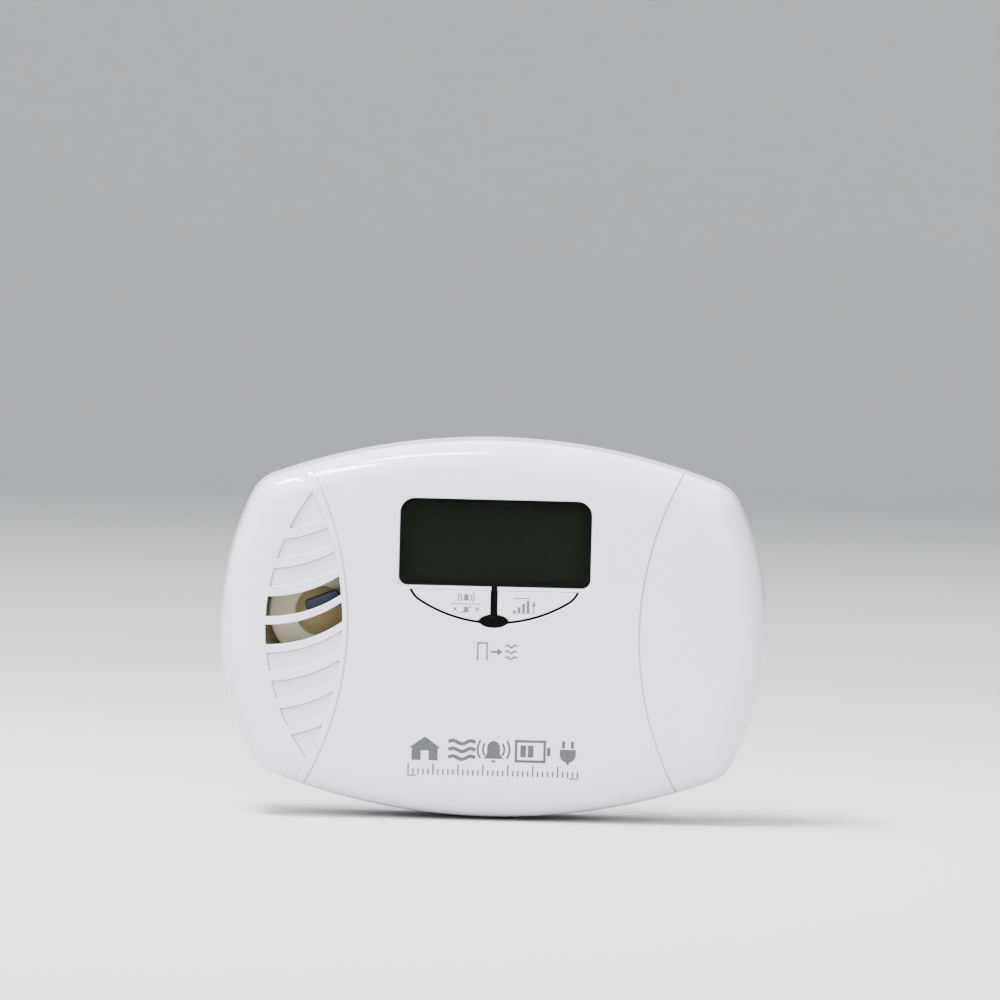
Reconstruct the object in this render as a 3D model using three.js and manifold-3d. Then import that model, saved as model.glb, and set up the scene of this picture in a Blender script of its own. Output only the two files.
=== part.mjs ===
// Plug-in carbon monoxide alarm with a digital display, two buttons, a louvred grille and a
// pull-out drawer for two AA cells.
//
// Units are millimetres. +Z is up and the front faces -Y. The origin is the middle of the rear
// face, in the plane of the wall plate that the alarm is plugged into, so the case lies at
// negative Y and the plug blades at positive Y. "Depth" below always means the distance in
// front of that plane, so a point at depth d has y = -d.
import * as THREE from "three";
import { mergeVertices } from "three/addons/utils/BufferGeometryUtils.js";
import Module from "manifold-3d";

const wasm = await Module();
wasm.setup();

// ---------------------------------------------------------------- driving dimensions

// Case outline: a barrel of four large arcs joined by corner arcs.
const HALF_WIDTH = 71.2;
const HALF_HEIGHT = 49.5;
const TOP_ARC = 165;
const SIDE_ARC = 79;
const CORNER_ARC = 10.4;

// Case depth and walls.
const CASE_DEPTH = 38;
const PARTING = 20.5;
const WALL = 2;
const REAR_WALL = 1.8;
const GAP = 0.2;

// Front face: level in the middle, then falling away and rolling over at the rim.
const CROWN_ACROSS = 2;
const CROWN_UP = 1.6;
const ROLL_WIDTH = 9;
const ROLL_DROP = 9;
const ROLL_POWER = 2.5;
const FACE_DRAFT = 0.6;

// Grille: a leaf between two arcs, crossed by curved slats. Two gaps between slats are open.
const LEAF_LEFT_ARC = 59;
const LEAF_RIGHT_ARC = 74.6;
const LEAF_RIGHT_CENTRE = -113.7;
const SLAT_ARC = 34;
const SLAT_PITCH = 7.3;
const SLAT_GAP = 5.2;
const POCKET_GAP = 4.8;
const SLAT_CENTRE_X = -59;
const POCKET_DEPTH = 0.8;
const SEAM_ARC = 85.5;
const SEAM_CENTRE = 123.2;
const SEAM_WIDTH = 0.4;
const SEAM_DEPTH = 0.5;

// Display window, indicator and buttons.
const WINDOW = { half: 24.8, low: 11.15, high: 33.7, topCorner: 3.8, lowCorner: 2.3 };
const BUTTONS = { arc: 36.5, low: 1.5, top: 10.3, endArc: 6.5, endTurn: 0.56 };
const BUTTON_EDGE_GAP = 0.45;
const STEM_HALF = 0.75;
const INDICATOR = { z: 2.1, across: 3.55, up: 1.5 };
const LENS_FRONT = 36.4;
const BUTTON_FRONT = 37.6;

// Circuit board, and the places of what stands on it.
const BOARD_REAR = 20.2;
const BOARD_FRONT = 21.8;
const BOARD_INSET = 5;
const ON_BOARD = BOARD_FRONT + 0.1;
const UNDER_BOARD = BOARD_REAR - 0.1;
const SWITCH = { x: 11, z: 7, bore: 1.95 };
const HORN = { x: -44.9, z: 3.4, radius: 13.4, port: 6.3, front: 28.7 };
const HORN_CAPACITOR = { x: -44.2, z: 5.9, tilt: 0.36 };
const SENSOR = { x: -40, z: -25, radius: 8, front: 31 };

// Battery drawer and its two AA cells.
const CELL = { radius: 7.1, body: 49.2, nub: 1.1, nubRadius: 2.7, pitch: 14.7, depth: 10.6 };
const DRAWER = { z: -8, half: 16.2, rear: 2.1, front: 18, left: 8, wall: 1.2, faceStart: 64.7 };
const CELL_LEFT = 11.6;
const CELL_RIGHT = CELL_LEFT + CELL.body + CELL.nub;
const UPPER_CELL_Z = DRAWER.z + CELL.pitch / 2;
const LOWER_CELL_Z = DRAWER.z - CELL.pitch / 2;

// Plug: two flat blades, half an inch apart.
const PLUG = { z: 26, spacing: 12.7, width: 6.35, thickness: 1.5, tang: 1.1, length: 17, inner: 16 };

// Screws.
const CASE_SCREWS = [[-49, 33.5], [49, 33.5], [-49, -33.5], [49, -33.5]];
const BOARD_SCREWS = [[-29, 34], [29, 34], [0, -38]];
const CASE_POST = 3.9;
const COUNTERBORE = { radius: 3, depth: 10 };

const LABEL = { left: -38, right: 38, low: -38, high: -12, recess: 0.4 };

// ---------------------------------------------------------------- solids from three.js shapes

/** A closed geometry as a manifold-3d solid. */
function solid(geometry) {
  const bare = geometry.index ? geometry.toNonIndexed() : geometry.clone();
  bare.deleteAttribute("normal");
  bare.deleteAttribute("uv");
  const merged = mergeVertices(bare, 1e-4);
  return new wasm.Manifold(
    new wasm.Mesh({
      numProp: 3,
      vertProperties: merged.attributes.position.array,
      triVerts: new Uint32Array(merged.index.array),
    }),
  );
}

/** A solid back as a flat-shaded geometry. */
function geometryOf(made) {
  const mesh = made.getMesh();
  const points = new Float32Array(mesh.numVert * 3);
  for (let i = 0; i < mesh.numVert; i++) {
    points.set(mesh.vertProperties.subarray(i * mesh.numProp, i * mesh.numProp + 3), i * 3);
  }
  const geometry = new THREE.BufferGeometry();
  geometry.setAttribute("position", new THREE.BufferAttribute(points, 3));
  geometry.setIndex(new THREE.BufferAttribute(mesh.triVerts, 1));
  const flat = geometry.toNonIndexed();
  flat.computeVertexNormals();
  return flat;
}

const cut = (from, ...tools) => tools.reduce((left, tool) => left.subtract(tool), from);
const join = (first, ...others) => others.reduce((sum, other) => sum.add(other), first);

/** The largest body of a solid, without the slivers that crossing surfaces leave. */
function largest(made) {
  return made.decompose().reduce((best, body) => (body.volume() > best.volume() ? body : best));
}

/** A flat shape, drawn as (x, z), extruded between two depths. */
function slab(shape, near, far, curveSegments = 12) {
  const geometry = new THREE.ExtrudeGeometry(shape, {
    depth: far - near,
    bevelEnabled: false,
    curveSegments,
  });
  return solid(geometry.translate(0, 0, near).rotateX(Math.PI / 2));
}

/** A box between two x, two z and two depths. */
function block(left, right, low, high, near, far) {
  const geometry = new THREE.BoxGeometry(right - left, far - near, high - low);
  return solid(geometry.translate((left + right) / 2, -(near + far) / 2, (low + high) / 2));
}

/** A round bar between two depths. */
function rod(x, z, radius, near, far, sides = 24) {
  const geometry = new THREE.CylinderGeometry(radius, radius, far - near, sides);
  return solid(geometry.translate(x, -(near + far) / 2, z));
}

/** A round bar along X between two x, centred at a depth and a height. */
function rodAcross(left, right, depth, z, radius, sides = 24) {
  const geometry = new THREE.CylinderGeometry(radius, radius, right - left, sides);
  return solid(geometry.rotateZ(Math.PI / 2).translate((left + right) / 2, -depth, z));
}

function circle(x, z, radius) {
  return new THREE.Shape().absarc(x, z, radius, 0, 2 * Math.PI, false);
}

function ellipse(z, across, up) {
  return new THREE.Shape().absellipse(0, z, across, up, 0, 2 * Math.PI, false, 0);
}

function roundedRectangle(left, right, low, high, lowCorner, topCorner) {
  const shape = new THREE.Shape();
  shape.moveTo(left + lowCorner, low);
  shape.lineTo(right - lowCorner, low);
  shape.absarc(right - lowCorner, low + lowCorner, lowCorner, -Math.PI / 2, 0, false);
  shape.lineTo(right, high - topCorner);
  shape.absarc(right - topCorner, high - topCorner, topCorner, 0, Math.PI / 2, false);
  shape.lineTo(left + topCorner, high);
  shape.absarc(left + topCorner, high - topCorner, topCorner, Math.PI / 2, Math.PI, false);
  shape.lineTo(left, low + lowCorner);
  shape.absarc(left + lowCorner, low + lowCorner, lowCorner, Math.PI, 1.5 * Math.PI, false);
  return shape;
}

/** A round wire or spring along a curve. */
function wire(curve, radius, steps, sides = 8) {
  const section = new THREE.Shape(
    Array.from({ length: sides }, (_, i) => {
      const angle = (2 * Math.PI * i) / sides;
      return new THREE.Vector2(radius * Math.cos(angle), radius * Math.sin(angle));
    }),
  );
  return new THREE.ExtrudeGeometry(section, { steps, extrudePath: curve, bevelEnabled: false });
}

/** A helix along X that narrows from one radius to another. */
class SpringCurve extends THREE.Curve {
  constructor(length, startRadius, endRadius, turns) {
    super();
    Object.assign(this, { length, startRadius, endRadius, turns });
  }

  getPoint(t) {
    const angle = 2 * Math.PI * this.turns * t;
    const radius = this.startRadius + (this.endRadius - this.startRadius) * t;
    return new THREE.Vector3(this.length * t, radius * Math.cos(angle), radius * Math.sin(angle));
  }
}

// ---------------------------------------------------------------- the case's outline and face

const topCentre = new THREE.Vector2(0, HALF_HEIGHT - TOP_ARC);
const sideCentre = new THREE.Vector2(HALF_WIDTH - SIDE_ARC, 0);
const cornerCentre = whereCirclesMeet(
  topCentre,
  TOP_ARC - CORNER_ARC,
  sideCentre,
  SIDE_ARC - CORNER_ARC,
);

/** The upper right crossing of two circles. */
function whereCirclesMeet(a, radiusA, b, radiusB) {
  const between = b.clone().sub(a);
  const distance = between.length();
  const along = (distance ** 2 + radiusA ** 2 - radiusB ** 2) / (2 * distance);
  const aside = Math.sqrt(radiusA ** 2 - along ** 2);
  const unit = between.divideScalar(distance);
  return new THREE.Vector2(
    a.x + unit.x * along + unit.y * aside,
    a.y + unit.y * along - unit.x * aside,
  );
}

/** The outline's points, anticlockwise from +X, moved inwards by inset. */
function outline(inset) {
  const sideEnd = cornerCentre.clone().sub(sideCentre).angle();
  const cornerEnd = cornerCentre.clone().sub(topCentre).angle();
  const arcs = [
    [sideCentre, SIDE_ARC, 0, sideEnd, 4],
    [cornerCentre, CORNER_ARC, sideEnd, cornerEnd, 4],
    [topCentre, TOP_ARC, cornerEnd, Math.PI / 2, 5],
  ];
  const quarter = arcs.flatMap(([centre, radius, start, end, steps]) =>
    Array.from({ length: steps }, (_, i) => {
      const angle = start + ((end - start) * i) / steps;
      return [
        centre.x + (radius - inset) * Math.cos(angle),
        centre.y + (radius - inset) * Math.sin(angle),
      ];
    }),
  );
  const top = [0, HALF_HEIGHT - inset];
  const right = [...quarter, top];
  const leftTop = quarter.slice(1).reverse().map(([x, z]) => [-x, z]);
  const half = [...right, ...leftTop, [-(HALF_WIDTH - inset), 0]];
  const lower = half.slice(1, -1).reverse().map(([x, z]) => [x, -z]);
  return [...half, ...lower];
}

/** The front face's depth at a point that lies a distance inside the face's outline. */
function faceDepth(x, z, inside) {
  const share = Math.max(0, 1 - inside / ROLL_WIDTH);
  const fall = CROWN_ACROSS * (x / HALF_WIDTH) ** 2 + CROWN_UP * (z / HALF_HEIGHT) ** 2;
  return CASE_DEPTH - share * fall - ROLL_DROP * (1 - Math.sqrt(1 - share ** ROLL_POWER));
}

/** A solid skinned over rings of [x, depth, z], closed at both ends by a fan. */
function loft(rings) {
  const count = rings[0].length;
  const middle = (ring) =>
    [0, 1, 2].map((axis) => ring.reduce((sum, point) => sum + point[axis], 0) / count);
  const first = rings.length * count;
  const last = first + 1;
  const points = [...rings.flat(), middle(rings[0]), middle(rings.at(-1))];
  const faces = [];
  for (let i = 0; i < count; i++) {
    const next = (i + 1) % count;
    faces.push([first, next, i]);
    faces.push([last, first - count + i, first - count + next]);
    for (let ring = 0; ring + 1 < rings.length; ring++) {
      const [a, b, c, d] = [i, next, next + count, i + count].map((k) => k + ring * count);
      faces.push([a, b, c], [a, c, d]);
    }
  }
  return new wasm.Manifold(
    new wasm.Mesh({
      numProp: 3,
      vertProperties: new Float32Array(points.flatMap(([x, depth, z]) => [x, -depth, z])),
      triVerts: new Uint32Array(faces.flat()),
    }),
  );
}

const ringAt = (inset, depth) => outline(inset).map(([x, z]) => [x, depth, z]);

/** The front half's body, thinned on every side by wall and starting at a depth. */
function frontBody(wall, start) {
  const rim = wall ? [0, 1.2, 4, ROLL_WIDTH] : [0, 0.3, 1.2, 3, 5.5, ROLL_WIDTH];
  const face = rim.map((inside) =>
    outline(FACE_DRAFT + wall + inside).map(([x, z]) => [x, faceDepth(x, z, inside) - wall, z]),
  );
  return loft([ringAt(wall, start), ...face]);
}

/** The rear half's body, thinned by wall, between two depths. */
function rearBody(wall, start) {
  const rings = wall
    ? [ringAt(wall + 1.3, start), ringAt(wall, PARTING + 1)]
    : [ringAt(2.6, 0), ringAt(1.8, 0.35), ringAt(1.3, 1.3), ringAt(0, PARTING)];
  return loft(rings);
}

// ---------------------------------------------------------------- openings in the front

/** The grille's leaf as a prism through the front. */
function leafPrism(near, far) {
  return slab(circle(0, 0, LEAF_LEFT_ARC), near, far, 48).intersect(
    slab(circle(LEAF_RIGHT_CENTRE, 0, LEAF_RIGHT_ARC), near, far, 48),
  );
}

const slatArc = (z, near, far) => slab(circle(SLAT_CENTRE_X, z + SLAT_ARC, SLAT_ARC), near, far, 32);

/** The part of the leaf between two slat arcs; null leaves that side to the leaf's tip. */
function grilleGap(top, low, near, far) {
  let gap = leafPrism(near, far);
  if (low !== null) gap = gap.intersect(slatArc(low, near, far));
  if (top !== null) gap = gap.subtract(slatArc(top, near, far));
  return gap;
}

/** A thin curved groove over the whole front, on one side. */
function seamPrism(side, near, far) {
  const centre = side * SEAM_CENTRE;
  const half = SEAM_WIDTH / 2;
  const band = slab(circle(centre, 0, SEAM_ARC + half), near, far, 48).subtract(
    slab(circle(centre, 0, SEAM_ARC - half), near, far, 48),
  );
  return band.intersect(block(-60, 60, -48, 48, near, far));
}

function windowShape(gap) {
  const { half, low, high, lowCorner, topCorner } = WINDOW;
  return roundedRectangle(-half + gap, half - gap, low + gap, high - gap, lowCorner, topCorner);
}

/** The field under the window that the two buttons fill, shrunk by gap along its arcs. */
function buttonField(gap, top, near, far) {
  const { arc, low, endArc, endTurn } = BUTTONS;
  const down = -Math.PI / 2;
  const endX = (arc - endArc) * Math.sin(endTurn);
  const endZ = low + arc - (arc - endArc) * Math.cos(endTurn);
  const topTurn = Math.asin((top - endZ) / (endArc - gap)) - down;
  const along = (x, z, radius, start, end, count) =>
    Array.from({ length: count + 1 }, (_, i) => {
      const angle = down + start + ((end - start) * i) / count;
      return new THREE.Vector2(x + radius * Math.cos(angle), z + radius * Math.sin(angle));
    });
  const points = [
    ...along(-endX, endZ, endArc - gap, -topTurn, -endTurn, 5),
    ...along(0, low + arc, arc - gap, -endTurn, endTurn, 24).slice(1),
    ...along(endX, endZ, endArc - gap, endTurn, topTurn, 5).slice(1),
  ];
  return slab(new THREE.Shape(points), near, far);
}

function indicatorPrism(gap, near, far) {
  return slab(ellipse(INDICATOR.z, INDICATOR.across + gap, INDICATOR.up + gap), near, far, 10);
}

// ---------------------------------------------------------------- housing

function frontCover() {
  const near = PARTING + GAP;
  const through = [30, 42];
  const tops = [3, 2, -1, -2, -3].map((row) => row * SLAT_PITCH);
  const tipLow = 4 * SLAT_PITCH - POCKET_GAP;
  const tipTop = -4 * SLAT_PITCH;
  const outer = frontBody(0, near);
  const pockets = join(
    grilleGap(null, tipLow, ...through),
    ...tops.map((top) => grilleGap(top, top - POCKET_GAP, ...through)),
    grilleGap(tipTop, null, ...through),
  ).subtract(outer.translate([0, POCKET_DEPTH, 0]));
  const seams = join(seamPrism(-1, ...through), seamPrism(1, ...through)).subtract(
    outer.translate([0, SEAM_DEPTH, 0]),
  );
  const shell = cut(
    outer,
    frontBody(WALL, near - 1),
    loft([ringAt(WALL / 2, near - 1), ringAt(WALL / 2, near + 2)]),
  );
  const posts = CASE_SCREWS.map(([x, z]) =>
    rod(x, z, CASE_POST - 0.6, PARTING + 0.5, 34.6, 16)
      .subtract(rod(x, z, 1.35, PARTING, 31, 12))
      .intersect(outer),
  );
  const opened = cut(
    join(shell, ...posts),
    pockets,
    seams,
    grilleGap(SLAT_PITCH, SLAT_PITCH - SLAT_GAP, ...through),
    grilleGap(0, -SLAT_GAP, ...through),
    slab(windowShape(0), ...through, 6),
    buttonField(0, BUTTONS.top, ...through),
    block(-STEM_HALF - GAP, STEM_HALF + GAP, INDICATOR.z, WINDOW.low + 1, ...through),
    indicatorPrism(GAP, ...through),
  );
  return largest(opened);
}

function rearCover() {
  const plateInside = REAR_WALL;
  const shell = rearBody(0, 0).subtract(rearBody(WALL, plateInside));
  const tongue = loft([
    ringAt(WALL / 2 + 0.15, PARTING - 0.5),
    ringAt(WALL / 2 + 0.15, PARTING + 1.8),
  ]).subtract(loft([ringAt(WALL, PARTING - 1), ringAt(WALL, PARTING + 2)]));
  const casePosts = CASE_SCREWS.map(([x, z]) => rod(x, z, CASE_POST, 1, PARTING - 0.2, 20));
  const boardPosts = BOARD_SCREWS.map(([x, z]) =>
    rod(x, z, 3, 1, UNDER_BOARD, 16).subtract(rod(x, z, 1.15, 8, PARTING, 12)),
  );
  const guideLeft = 4;
  const guideRight = 62;
  const guides = [DRAWER.half + 1.1, -DRAWER.half - 2.3].map((offset) =>
    block(guideLeft, guideRight, DRAWER.z + offset, DRAWER.z + offset + 1.2, 1, 12),
  );
  const contactWall = block(2.4, 3.6, -25, 9, 1, 17);
  const holes = CASE_SCREWS.map(([x, z]) =>
    join(
      rod(x, z, COUNTERBORE.radius, -1, COUNTERBORE.depth, 20),
      rod(x, z, 1.5, 5, PARTING + 1, 12),
    ),
  );
  const vents = [0, 1, 2, 3, 4].map((column) => {
    const x = -54 + 5 * column;
    return slab(roundedRectangle(x - 1, x + 1, 12, 28, 0.9, 0.9), -1, 3, 3);
  });
  const opening = DRAWER.half + 0.3;
  return cut(
    join(shell, tongue, ...casePosts, ...boardPosts, ...guides, contactWall),
    ...holes,
    ...vents,
    block(60, 80, DRAWER.z - opening, DRAWER.z + opening, REAR_WALL + 0.1, DRAWER.front + 0.3),
    block(-12.2, 12.2, PLUG.z - 6.7, PLUG.z + 6.7, -1, 3),
    block(LABEL.left, LABEL.right, LABEL.low, LABEL.high, -1, LABEL.recess),
  );
}

function displayLens() {
  const { half, low, high } = WINDOW;
  return join(
    slab(windowShape(0.15), 34.4, LENS_FRONT, 6),
    block(-half - 1.2, half + 1.2, low + 0.15, high + 1.2, 33.8, 34.4),
    block(-STEM_HALF, STEM_HALF, INDICATOR.z, low + 0.5, 34.4, 37),
    indicatorPrism(0, 31.5, 37.4),
  );
}

/** One button cap, on the left (-1) or right (+1), with its flange and its push post. */
function buttonCap(side) {
  const inner = STEM_HALF + 0.25;
  const halfOf = (edge, near, far) =>
    side < 0 ? block(-40, -edge, -10, 20, near, far) : block(edge, 40, -10, 20, near, far);
  const cap = buttonField(BUTTON_EDGE_GAP, BUTTONS.top - GAP, 34.4, BUTTON_FRONT);
  const flange = buttonField(-0.7, BUTTONS.top - GAP, 34.1, 35.3);
  return cut(
    join(
      cap.intersect(halfOf(inner, 30, 40)),
      flange.intersect(halfOf(inner, 30, 40)),
      rod(side * SWITCH.x, SWITCH.z, 2, 27.9, 34.5, 12),
    ),
    indicatorPrism(0.3, 30, 40),
  );
}

// ---------------------------------------------------------------- display and switches

function lcdHolder() {
  return cut(
    block(-25.2, 25.2, 11, 34.3, ON_BOARD, 33.6),
    block(-23.2, 23.2, 12.1, 32.5, 24, 34),
    block(-20.3, 20.3, 12.2, 14.5, 20, 30),
  );
}

function switchBody() {
  return block(-3.1, 3.1, -3.1, 3.1, ON_BOARD, 25.4).subtract(rod(0, 0, SWITCH.bore, 23.4, 26, 16));
}

function lightEmittingDiode() {
  const dome = new THREE.SphereGeometry(1.5, 12, 8).translate(0, -28, 0);
  return join(rod(0, 0, 1.5, ON_BOARD, 28, 12), rod(0, 0, 1.9, ON_BOARD, 23, 12), solid(dome));
}

// ---------------------------------------------------------------- circuit board

function circuitBoard() {
  const posts = CASE_SCREWS.map(([x, z]) => rod(x, z, CASE_POST + 0.6, 19, 23, 16));
  const screwHoles = BOARD_SCREWS.map(([x, z]) => rod(x, z, 1.3, 19, 23, 12));
  return cut(
    loft([ringAt(BOARD_INSET, BOARD_REAR), ringAt(BOARD_INSET, BOARD_FRONT)]),
    ...posts,
    ...screwHoles,
  );
}

function hornHousing() {
  const { radius, port, front } = HORN;
  return cut(
    rod(0, 0, radius, ON_BOARD, front, 40),
    rod(0, 0, radius - 1.2, ON_BOARD - 1, front - 1.4, 32),
    rod(0, 0, port, ON_BOARD, front + 1, 28),
  );
}

/** A flat film capacitor folded over the horn, with its two bent leads. */
function hornCapacitor() {
  const leads = [-1.2, 1.2].map((z) => {
    const path = new THREE.CatmullRomCurve3([
      new THREE.Vector3(4, -31, z),
      new THREE.Vector3(8, -31, z),
      new THREE.Vector3(15, -30.4, z),
      new THREE.Vector3(17.4, -28, z),
      new THREE.Vector3(17.6, -ON_BOARD, z),
    ]);
    return solid(wire(path, 0.35, 10, 6));
  });
  return join(block(-4.6, 4.8, -2.1, 2.1, 29, 33), ...leads);
}

function sensorCan() {
  const { radius, front } = SENSOR;
  return join(rod(0, 0, radius, ON_BOARD, front, 32), rod(0, 0, radius + 0.8, ON_BOARD, 23, 32));
}

function sensorCap() {
  const { radius, front } = SENSOR;
  return rod(0, 0, radius - 1, front + 0.1, front + 1.3, 28).subtract(
    rod(0, 0, 1.2, front, front + 2, 12),
  );
}

/** Iron core of the mains transformer: an E and an I, with the leg through the winding. */
function transformerCore() {
  return cut(
    block(-50, -22, -18, 6, 6.5, 17.5),
    block(-45, -39, -15, 3, 5, 19),
    block(-33, -27, -15, 3, 5, 19),
  );
}

function transformerWinding() {
  return block(-44.7, -27.3, -14.7, 2.7, 4.2, 19.8).subtract(
    block(-39.3, -32.7, -15, 3, 6.2, 17.8),
  );
}

/** A radial electrolytic capacitor that stands off the back of the board. */
function reservoirCapacitor() {
  return join(rod(0, 0, 5, 5, 19.6, 24), rod(-2, 0, 0.4, 19, UNDER_BOARD, 8));
}

function varistor() {
  return join(
    rodAcross(-20, -16.5, 12.6, 12, 5, 24),
    rod(-18.2, 9.8, 0.4, 15, UNDER_BOARD, 8),
    rod(-18.2, 14.2, 0.4, 15, UNDER_BOARD, 8),
  );
}

// ---------------------------------------------------------------- plug

function bladeBlock() {
  const slot = { half: PLUG.thickness / 2 + GAP, up: PLUG.width / 2 + GAP };
  const slots = [-1, 1].map((side) => {
    const x = (side * PLUG.spacing) / 2;
    return block(x - slot.half, x + slot.half, -slot.up, slot.up, -1, 14);
  });
  return cut(
    join(block(-12, 12, -6.5, 6.5, 0.05, 12), block(-14, 14, -7.6, 7.6, 2, 4)),
    ...slots,
  );
}

/** A flat plate that lies across X, between two depths, with rounded far corners. */
function bladePlate(thickness, halfWide, near, far, corner) {
  const plate = new THREE.ExtrudeGeometry(
    roundedRectangle(near, far, -halfWide, halfWide, corner, corner),
    { depth: thickness, bevelEnabled: false, curveSegments: 4 },
  );
  // Drawn with its length along X, then turned so that the length runs along -Y.
  return solid(plate.translate(0, 0, -thickness / 2).rotateX(Math.PI / 2).rotateZ(-Math.PI / 2));
}

/** One blade, with a thinner tang where it passes through the blade block. */
function blade() {
  const { thickness, width, length, inner, tang } = PLUG;
  const hole = rodAcross(-thickness, thickness, -11.9, 0, 1.6, 12);
  return join(
    bladePlate(thickness, width / 2, -length, -0.1, 1.6),
    bladePlate(tang, width / 2 - 0.3, -8, inner, 0.8),
  ).subtract(hole);
}

/** An insulated lead along hand-set points of [x, depth, z]. */
function lead(points) {
  const path = new THREE.CatmullRomCurve3(
    points.map(([x, depth, z]) => new THREE.Vector3(x, -depth, z)),
  );
  return wire(path, 0.8, 14);
}

// ---------------------------------------------------------------- batteries

function cell() {
  const { radius, body, nub, nubRadius } = CELL;
  const geometry = new THREE.LatheGeometry(
    [
      [0, 0],
      [radius - 1.4, 0],
      [radius - 1.2, 0.25],
      [radius - 0.4, 0.25],
      [radius, 0.7],
      [radius, body - 0.6],
      [radius - 0.5, body],
      [nubRadius, body],
      [nubRadius - 0.2, body + nub],
      [0, body + nub],
    ].map(([r, along]) => new THREE.Vector2(r, along)),
    20,
  );
  return geometry;
}

/** The drawer: a tray open to the front, with a curved outer face that closes the case. */
function batteryDrawer() {
  const { z, half, rear, front, left, wall, faceStart } = DRAWER;
  const tray = cut(
    block(left, faceStart + 1, z - half, z + half, rear, front - 1.2),
    block(left + wall, faceStart, z - half + wall, z + half - wall, rear + wall, front + 1),
    rodAcross(left - 1, left + wall + 1, CELL.depth, UPPER_CELL_Z, 5.4),
    rodAcross(left - 1, left + wall + 1, CELL.depth, LOWER_CELL_Z, 5.4),
  );
  const divider = block(20, 56, z - 0.5, z + 0.5, rear, 5.2).subtract(
    join(
      rodAcross(19, 57, CELL.depth, UPPER_CELL_Z, CELL.radius + 0.2, 28),
      rodAcross(19, 57, CELL.depth, LOWER_CELL_Z, CELL.radius + 0.2, 28),
    ),
  );
  const stops = [half, -half - 0.8].map((offset) =>
    block(left, left + 0.5, z + offset, z + offset + 0.8, 4, 12),
  );
  const face = cut(
    block(faceStart, 80, z - half, z + half, rear, front).intersect(rearBody(0, 0)),
    rodAcross(HALF_WIDTH - 2.4, 80, 10, z, 4.5, 24),
  );
  return join(tray, divider, face, ...stops);
}

function bridgeContact() {
  return join(
    block(64.1, 64.5, LOWER_CELL_Z - 4, UPPER_CELL_Z + 4, 6.5, 14.5),
    rodAcross(62.1, 64.3, CELL.depth, LOWER_CELL_Z, 2.4, 16),
  );
}

function bayContact() {
  return join(
    block(4, 4.4, UPPER_CELL_Z - 3.5, UPPER_CELL_Z + 3.5, 6, UNDER_BOARD),
    rodAcross(4.2, 11.3, CELL.depth, UPPER_CELL_Z, 2, 16),
  );
}

// ---------------------------------------------------------------- fasteners

/** A pan-head screw along depth, head at the near end, with a cross recess. */
function screw(headRadius, shaftRadius, headDepth, length) {
  const head = rod(0, 0, headRadius, 0, headDepth, 20);
  const recess = join(
    block(-1.5, 1.5, -0.3, 0.3, -1, 1),
    block(-0.3, 0.3, -1.5, 1.5, -1, 1),
  );
  return join(cut(head, recess), rod(0, 0, shaftRadius, headDepth - 0.1, length, 12));
}

// ---------------------------------------------------------------- materials

const finish = (color, roughness, metalness = 0) =>
  new THREE.MeshStandardMaterial({ color, roughness, metalness });

const WHITE_ABS = finish(0xeeeef1, 0.3);
const BUTTON_ABS = finish(0xf1f1f4, 0.35);
const SMOKED = finish(0x11140f, 0.08);
const LCD_GLASS = finish(0x3a4433, 0.15);
const DIFFUSER = finish(0xe8ecdf, 0.5);
const DARK_PLASTIC = finish(0x1c1c1e, 0.5);
const RUBBER = finish(0x565b60, 0.8);
const BOARD_TAN = finish(0xa07c4c, 0.6);
const CREAM = finish(0xe6dfc4, 0.5);
const BLUE = finish(0x26405f, 0.45);
const BRASS = finish(0xc8a45a, 0.35, 1);
const NICKEL = finish(0xc9c7c2, 0.28, 1);
const STEEL = finish(0xb4b6ba, 0.35, 1);
const IRON = finish(0x6f7276, 0.55, 1);
const TAPE_YELLOW = finish(0xe0bd3c, 0.5);
const CELL_JACKET = finish(0x8e959c, 0.4);
const LABEL_PAPER = finish(0xf4f4f2, 0.7);
const WIRE_BLACK = finish(0x17181a, 0.5);
const WIRE_WHITE = finish(0xe9e9e6, 0.5);
const WIRE_RED = finish(0xb3201f, 0.5);
const LED_RED = finish(0xa11a1a, 0.2);

// ---------------------------------------------------------------- assembly

const alarm = new THREE.Group();

/** Adds a named mesh to a group, at a place given as x, depth and z. */
function add(group, name, shape, material, [x, depth, z] = [0, 0, 0]) {
  const geometry = shape.isBufferGeometry ? shape : geometryOf(shape);
  const mesh = new THREE.Mesh(geometry, material);
  mesh.name = name;
  mesh.position.set(x, -depth, z);
  group.add(mesh);
  return mesh;
}

function buildHousing() {
  const housing = new THREE.Group();
  add(housing, "front_cover", frontCover(), WHITE_ABS);
  add(housing, "rear_cover", rearCover(), WHITE_ABS);
  add(housing, "display_lens", displayLens(), SMOKED);
  const label = new THREE.BoxGeometry(LABEL.right - LABEL.left - 1, 0.2, LABEL.high - LABEL.low - 1);
  const labelPlace = [(LABEL.left + LABEL.right) / 2, 0.2, (LABEL.low + LABEL.high) / 2];
  add(housing, "rating_label", label, LABEL_PAPER, labelPlace);
  CASE_SCREWS.forEach(([x, z], i) => {
    const place = [x, COUNTERBORE.depth - 2.2, z];
    add(housing, `case_screw_${i + 1}`, screw(2.6, 1.15, 2, 20), STEEL, place);
  });
  return housing;
}

function buildButtons() {
  const buttons = new THREE.Group();
  const sides = [["test_silence", -1], ["peak_level", 1]];
  for (const [name, side] of sides) {
    add(buttons, `${name}_button`, buttonCap(side), BUTTON_ABS);
    const place = [side * SWITCH.x, 0, SWITCH.z];
    add(buttons, `${name}_switch_body`, switchBody(), DARK_PLASTIC, place);
    add(buttons, `${name}_switch_plunger`, rod(0, 0, 1.7, 24.4, 27.7, 16), DARK_PLASTIC, place);
  }
  return buttons;
}

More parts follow.
